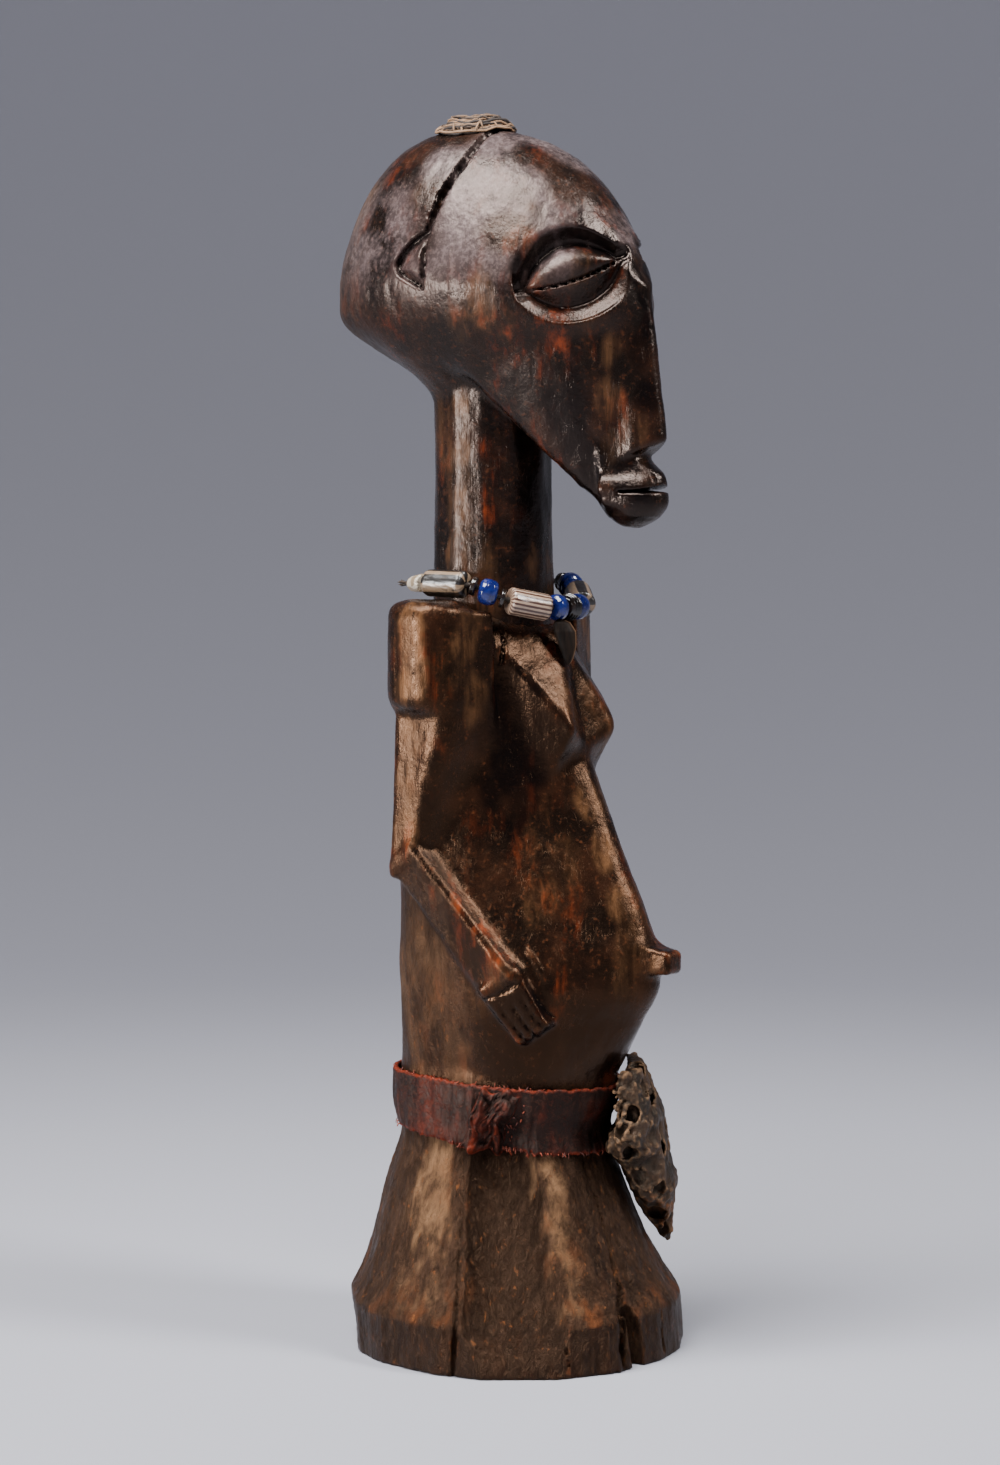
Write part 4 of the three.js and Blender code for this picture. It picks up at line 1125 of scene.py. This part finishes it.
def belt_frays():
    parts = []
    for i in range(150):
        n = 7
        if i < 80:
            a, at = math.radians(rng.normal(308, 15)), rng.choice([0., 0., 0., 1.])
        elif i < 120:
            a, at = rng.uniform(0, 2 * np.pi), rng.choice([0., 1.])
        else:
            a, at = math.radians(rng.normal(309, 5)), rng.uniform(.15, .9)
        low, high = belt_edges(np.array(a))
        length, lean = rng.uniform(.6, 2.3), rng.uniform(-1, 1)
        s = np.linspace(0, 1, n)
        drop = (-1 if at < .5 else 1) * (-.6 + length * s * (.55 + .45 * (1 - abs(lean))))
        z = low + (high - low) * at + drop + .3 * np.sin(s * 5 + i)
        turn = a + lean * length * s / 38
        r = trunk_radius(turn, z) + 1.9 + .5 * np.sin(s * 3 + i) + rng.uniform(0, .5)
        parts.append((*tube(around(turn, r, z), rng.uniform(.12, .28) * taper(n, .15), 5), rng.uniform(0, 1)))
    strands("belt_frays", "belt", "belt_leather", FRAY, parts)


belt()
belt_patch()
belt_frays()


# The hide that hangs from the belt; stations are (height, value)

HIDE_TURN = [(27, 37), (40, 34), (57, 29), (74, 26), (98, 20)]
HIDE_WIDE = [(27, 1.5), (33, 6), (43, 12), (57, 20), (74, 30), (86, 30), (98, 28)]
HIDE_OUT = [(27, 5), (36, 7), (40, 7.6), (48, 8.8), (62, 11), (80, 10.6), (92, 7.5), (98, 5.2)]
HIDE_THICK = [(27, .9), (34, 2.4), (40, 4), (48, 6.6), (62, 9.2), (70, 8.8), (80, 7.4), (92, 4.6), (98, 2.6)]


def pendant(x, y, z):
    p, back = (x, y, z), y - curve(z, SKIRT_Y)
    r = np.sqrt(x * x + back**2)
    across = np.radians(np.degrees(np.arctan2(x, -back)) - curve(z, HIDE_TURN)) * r
    wide = np.radians(curve(z, HIDE_WIDE)) * r * (1 - .12 * noise(z / 5, 0, 0, 81))
    stand, thick = trunk(x, y, z) / .85 - curve(z, HIDE_OUT), curve(z, HIDE_THICK)
    f = (np.sqrt((across / wide)**2 + (stand / thick)**2 + 1e-6) - 1) * np.minimum(thick * .9, wide)
    f = smax(smax(f, z - 98.5, 2), 27 - z, .8)
    bent = 1.6 * stretched(p, 5, 5, 84)
    knobs = 1.0 - cells((x + bent) / 4.6, (y - bent) / 3.9, (z + bent) / 6.4, 9) * 1.6 + .5 * stretched(p, 7, 7, 85)
    low_down = ramp(-z, -52, -44)
    f = f - (.62 - .4 * low_down) * knobs - .28 * stretched(p, 1.4, 1.4, 82) + .3
    pits = cells(x / 7.5, y / 7.5, z / 9, 13) - .38 - .3 * low_down
    return smax(f, -pits * 5, .5)


def hide_piece():
    points, faces, normal = net(pendant, (-18, -72, 24), (66, 14, 102), .66, .62)
    stands = standing(points, faces, normal)
    edge = ramp(-points[:, 2], -62, -44) * ramp(noise(*(points.T / 4), 83), -.3, .5)
    # high marks painted highlights on the knobs, deep marks painted shade in the pits
    piece("hide_piece", "hide_pendant", "hide", points, faces, HIDE,
          high=ramp(stands, .1, .42), deep=ramp(-stands, .25, .7), edge=edge)


hide_piece()


# The necklace, by angle round the neck from the figure's left

LOOP_HEIGHT = [(0, 262.1), (35, 261), (90, 259), (145, 261.5), (170, 262.1), (200, 261.6), (211, 259.6),
               (220, 257.4), (253, 253.9), (287, 253.9), (320, 257.4), (329, 259.6), (340, 261.6), (360, 262.1)]
BEAD_GAP = .35
HOLE = 1.15


def loop_point(turn):
    turn = np.asarray(turn, float) % 360
    r = 30.5 - 7 * bell(turn, 90, 45)
    a = np.radians(turn)
    return np.stack([r * np.cos(a), 11 + r * np.sin(a), curve(turn, LOOP_HEIGHT)], -1)


def necklace_cord():
    turn = np.linspace(0, 360, 720)
    twist = np.radians(turn)[:, None] * 33
    r = .58 + .34 * np.abs(np.cos(steps_round(12)[None, :] - twist))
    parts = [(*tube(loop_point(turn), r, 12), .45)]
    start = loop_point(146) + (-.4, .6, -.2)
    for i in range(9):
        s = np.linspace(0, 1, 9)[:, None]
        way = np.array([-.52, .78, .28]) + rng.normal(0, .17, 3)
        p = start + way * s * rng.uniform(2.6, 4.6) + (0, 0, -1.0) * s * s * rng.uniform(0, 1)
        parts.append((*tube(p, rng.uniform(.22, .42) * taper(9, .3), 6), rng.uniform(.1, .9)))
    strands("twisted_cord", "necklace_cord", "cord", CORD, parts)


def bead(name, node, slot, material, start, end, profile, stripes=None, ribs=0, rough_end=0., level=1.):
    """A bead of revolution on the loop; its profile gives the radius at shares of its length."""
    a, b, top = loop_point(start), loop_point(end), loop_point((start + end) / 2)
    middle = (a + b) / 2 * .5 + top * .5
    length = np.linalg.norm(b - a) - BEAD_GAP
    way = unit((b - a) * (1, 1, level))
    side = unit(np.cross(way, (0, 0, 1)))
    up = np.cross(side, way)
    at, wide = np.array([(0, HOLE), *profile, (1, HOLE)], float).T
    walk = np.concatenate([[0], np.cumsum(np.hypot(np.diff(at) * length, np.diff(wide)))])
    walk = walk / walk[-1]
    s = np.unique(np.concatenate([np.linspace(0, 1, 70 if ribs else 30), walk]))
    sides = 96 if stripes else 48
    A, T = np.meshgrid(np.interp(s, walk, at), steps_round(sides), indexing="ij")
    R = np.repeat(np.interp(s, walk, wide)[:, None], sides, 1)
    c, s = np.cos(T), np.sin(T)
    seed = int(start)
    swell = clamp((R - HOLE) / 2)
    dents = np.maximum(0, noise(c * 5, s * 5, A * 9, seed + 1))
    R = R * (1 + .02 * noise(c * 2, s * 2, A * 3, seed)) - .14 * swell * dents
    if ribs:
        R = R + .38 * swell * np.cos(A * ribs * 2 * np.pi + T)
    ends = np.maximum(ramp(-A, -.10, 0), ramp(A, .90, 1))
    R = R - rough_end * swell * ends * np.maximum(0, noise(c * 3, s * 3, A * 2, seed + 2))
    p = middle + ((A - .5) * length)[..., None] * way + (R * c)[..., None] * side + (R * s)[..., None] * up
    values = {"stripe": stripes(T, A)} if stripes else {}
    piece(name, node, slot, p, grid(*A.shape)[:, ::-1], material, **values)


TUBE = [(0, 3.3), (.015, 4.2), (.06, 4.6), (.94, 4.6), (.985, 4.2), (1, 3.3)]
ROUND = [(0, 2.6), (.06, 3.5), (.2, 4.25), (.5, 4.5), (.8, 4.25), (.94, 3.5), (1, 2.6)]
DISC = [(0, 2.8), (.2, 3.25), (.8, 3.25), (1, 2.8)]
OLD_BONE = [(0, 2.2), (.08, 2.6), (.5, 2.9), (.92, 3.1), (1, 2.7)]
COIL = [(0, 3), (.1, 3.8), (.5, 4.5), (.9, 3.8), (1, 3)]


def wide_stripes(t, a):
    wave = .36 + .5 * np.cos(5 * t + 1.4) * .9
    return clamp(wave + .22 * np.cos(12 * t + 1.2) + .05 * noise(np.cos(t) * 3, np.sin(t) * 3, a * 4, 5))


def narrow_stripes(t, a):
    return clamp(.5 + .5 * np.cos(19 * t + .25 * np.sin(a * 3)))


def mottle(t, a):
    return .5 + .5 * noise(np.cos(t) * 2, np.sin(t) * 2, a * 3, 6)


def striped_tube(i, start, end, material, stripes, rough_end):
    bead(f"striped_tube_{i}", f"striped_bead_{i}", "striped_glass", material, start, end, TUBE, stripes,
         rough_end=rough_end)


def dark_disc(i, start, end):
    bead(f"dark_disc_{i}", f"disc_bead_{i}", "dark_bead", DARK_GLASS, start, end, DISC)


def blue_barrel(i, start, end, level=1.):
    bead(f"blue_barrel_{i}", f"blue_bead_{i}", "blue_glass", BLUE, start, end, ROUND, level=level)


necklace_cord()
bead("bone_tube", "bone_bead", "bone", BONE, 146, 165, OLD_BONE, mottle, rough_end=.9)
striped_tube(1, 168.2, 199, STRIPED, wide_stripes, .8)
dark_disc(1, 201.2, 205.4)
blue_barrel(1, 206.6, 218, level=.45)
dark_disc(2, 219.2, 222.6)
striped_tube(2, 224.6, 252.6, STRIPED_BROWN, narrow_stripes, .5)
blue_barrel(2, 255.2, 265.4)
bead("coiled_barrel", "coiled_bead", "dark_bead", DARK_GLASS, 266.6, 278.6, COIL, ribs=6)
blue_barrel(3, 279.8, 290)
dark_disc(3, 291.2, 295)
striped_tube(3, 297, 325.4, STRIPED, wide_stripes, .7)
blue_barrel(4, 328, 339)
dark_disc(4, 340.4, 345)


def horn_pendant():
    top, tip = np.array([-5.2, -20.6, 249.6]), np.array([-4.6, -23.0, 234.6])
    rows = columns = 40
    s = np.linspace(0, 1, rows)
    at, deep, wide = np.array([(0, .7, 1.3), (.05, 1.5, 3.0), (.25, 2.1, 4.1), (.6, 1.8, 3.1), (.88, 1, 1.6),
                               (.97, .5, .8), (1, .12, .15)]).T
    deep, wide = np.interp(s, at, deep)[:, None], np.interp(s, at, wide)[:, None]
    t = steps_round(columns)
    across, front = np.array([.66, -.75, 0]), np.array([-.75, -.66, 0])
    centre = top + (tip - top) * s[:, None] + (1.6 * (s - s * s) * 2)[:, None] * across
    ridge = 1 + .10 * np.cos(t * 2)
    rim = np.repeat(bell(np.degrees(t), 84, 15)[None, :], rows, 0)
    points = centre[:, None] + (wide * np.sin(t) * ridge)[..., None] * across \
        + (deep * np.cos(t) * ridge)[..., None] * front + rim[..., None] * .3 * across
    piece("curved_horn", "horn_pendant", "horn", points, grid(rows, columns), HORN, edge=rim)


horn_pendant()


# Light and floor

def soft_light(name, azimuth, height, distance, width, tall, power):
    """An area light that looks at the middle of the figure."""
    data = bpy.data.lights.new(name, "AREA")
    data.shape = "RECTANGLE"
    data.size, data.size_y = width, tall
    data.energy = power
    o = bpy.data.objects.new(name, data)
    a = math.radians(azimuth)
    o.location = (distance * math.cos(a), distance * math.sin(a), height)
    o.rotation_euler = (Vector((0, 0, .22)) - o.location).to_track_quat("-Z", "Y").to_euler()
    o.visible_camera = False
    bpy.context.collection.objects.link(o)


soft_light("left_box", 154, .24, 1.5, .42, .40, 38)
soft_light("right_box", 281, 1.36, 1.25, .38, .95, 50)
soft_light("top_box", 170, 1.5, .66, 1.05, .8, 84)

world = bpy.data.worlds.new("studio")
world.use_nodes = True
background = world.node_tree.nodes["Background"].inputs
background["Color"].default_value = (.60, .60, .66, 1)
background["Strength"].default_value = .2
bpy.context.scene.world = world


def studio():
    """A round floor that curves up into a wall far outside the lights, in metres."""
    curl = np.linspace(0, np.pi / 2, 32)
    radius = np.concatenate([np.arange(9) / 10, .9 + 2.4 * np.sin(curl), [3.3]])
    height = np.concatenate([[0] * 9, 2.6 - 2.6 * np.cos(curl), [4.4]])
    t = steps_round(96)
    r, h = radius[:, None] + 0 * t, height[:, None] + 0 * t
    n = Nodes("pale_backdrop")
    pale = n.blend(n.noise(3, 3), (.258, .258, .290), (.272, .272, .304))
    # Painted light: the floor is lighter within a metre of the middle and darker beyond, and the wall grows lighter
    # and bluer with height
    pale = n.blend(n.attribute("near"), pale, (.164, .164, .192))
    n.finish(n.blend(n.attribute("far"), pale, (.262, .262, .315)), .75, n.bump(n.noise(400, 3), .00008, .3))
    points = np.stack([r * np.cos(t), r * np.sin(t), h], -1)
    o = make_mesh("studio_floor", points / MM, grid(*r.shape)[:, ::-1], n.material,
                  near=ramp(r, .05, 1), far=ramp(h, .05, 1.6))


studio()
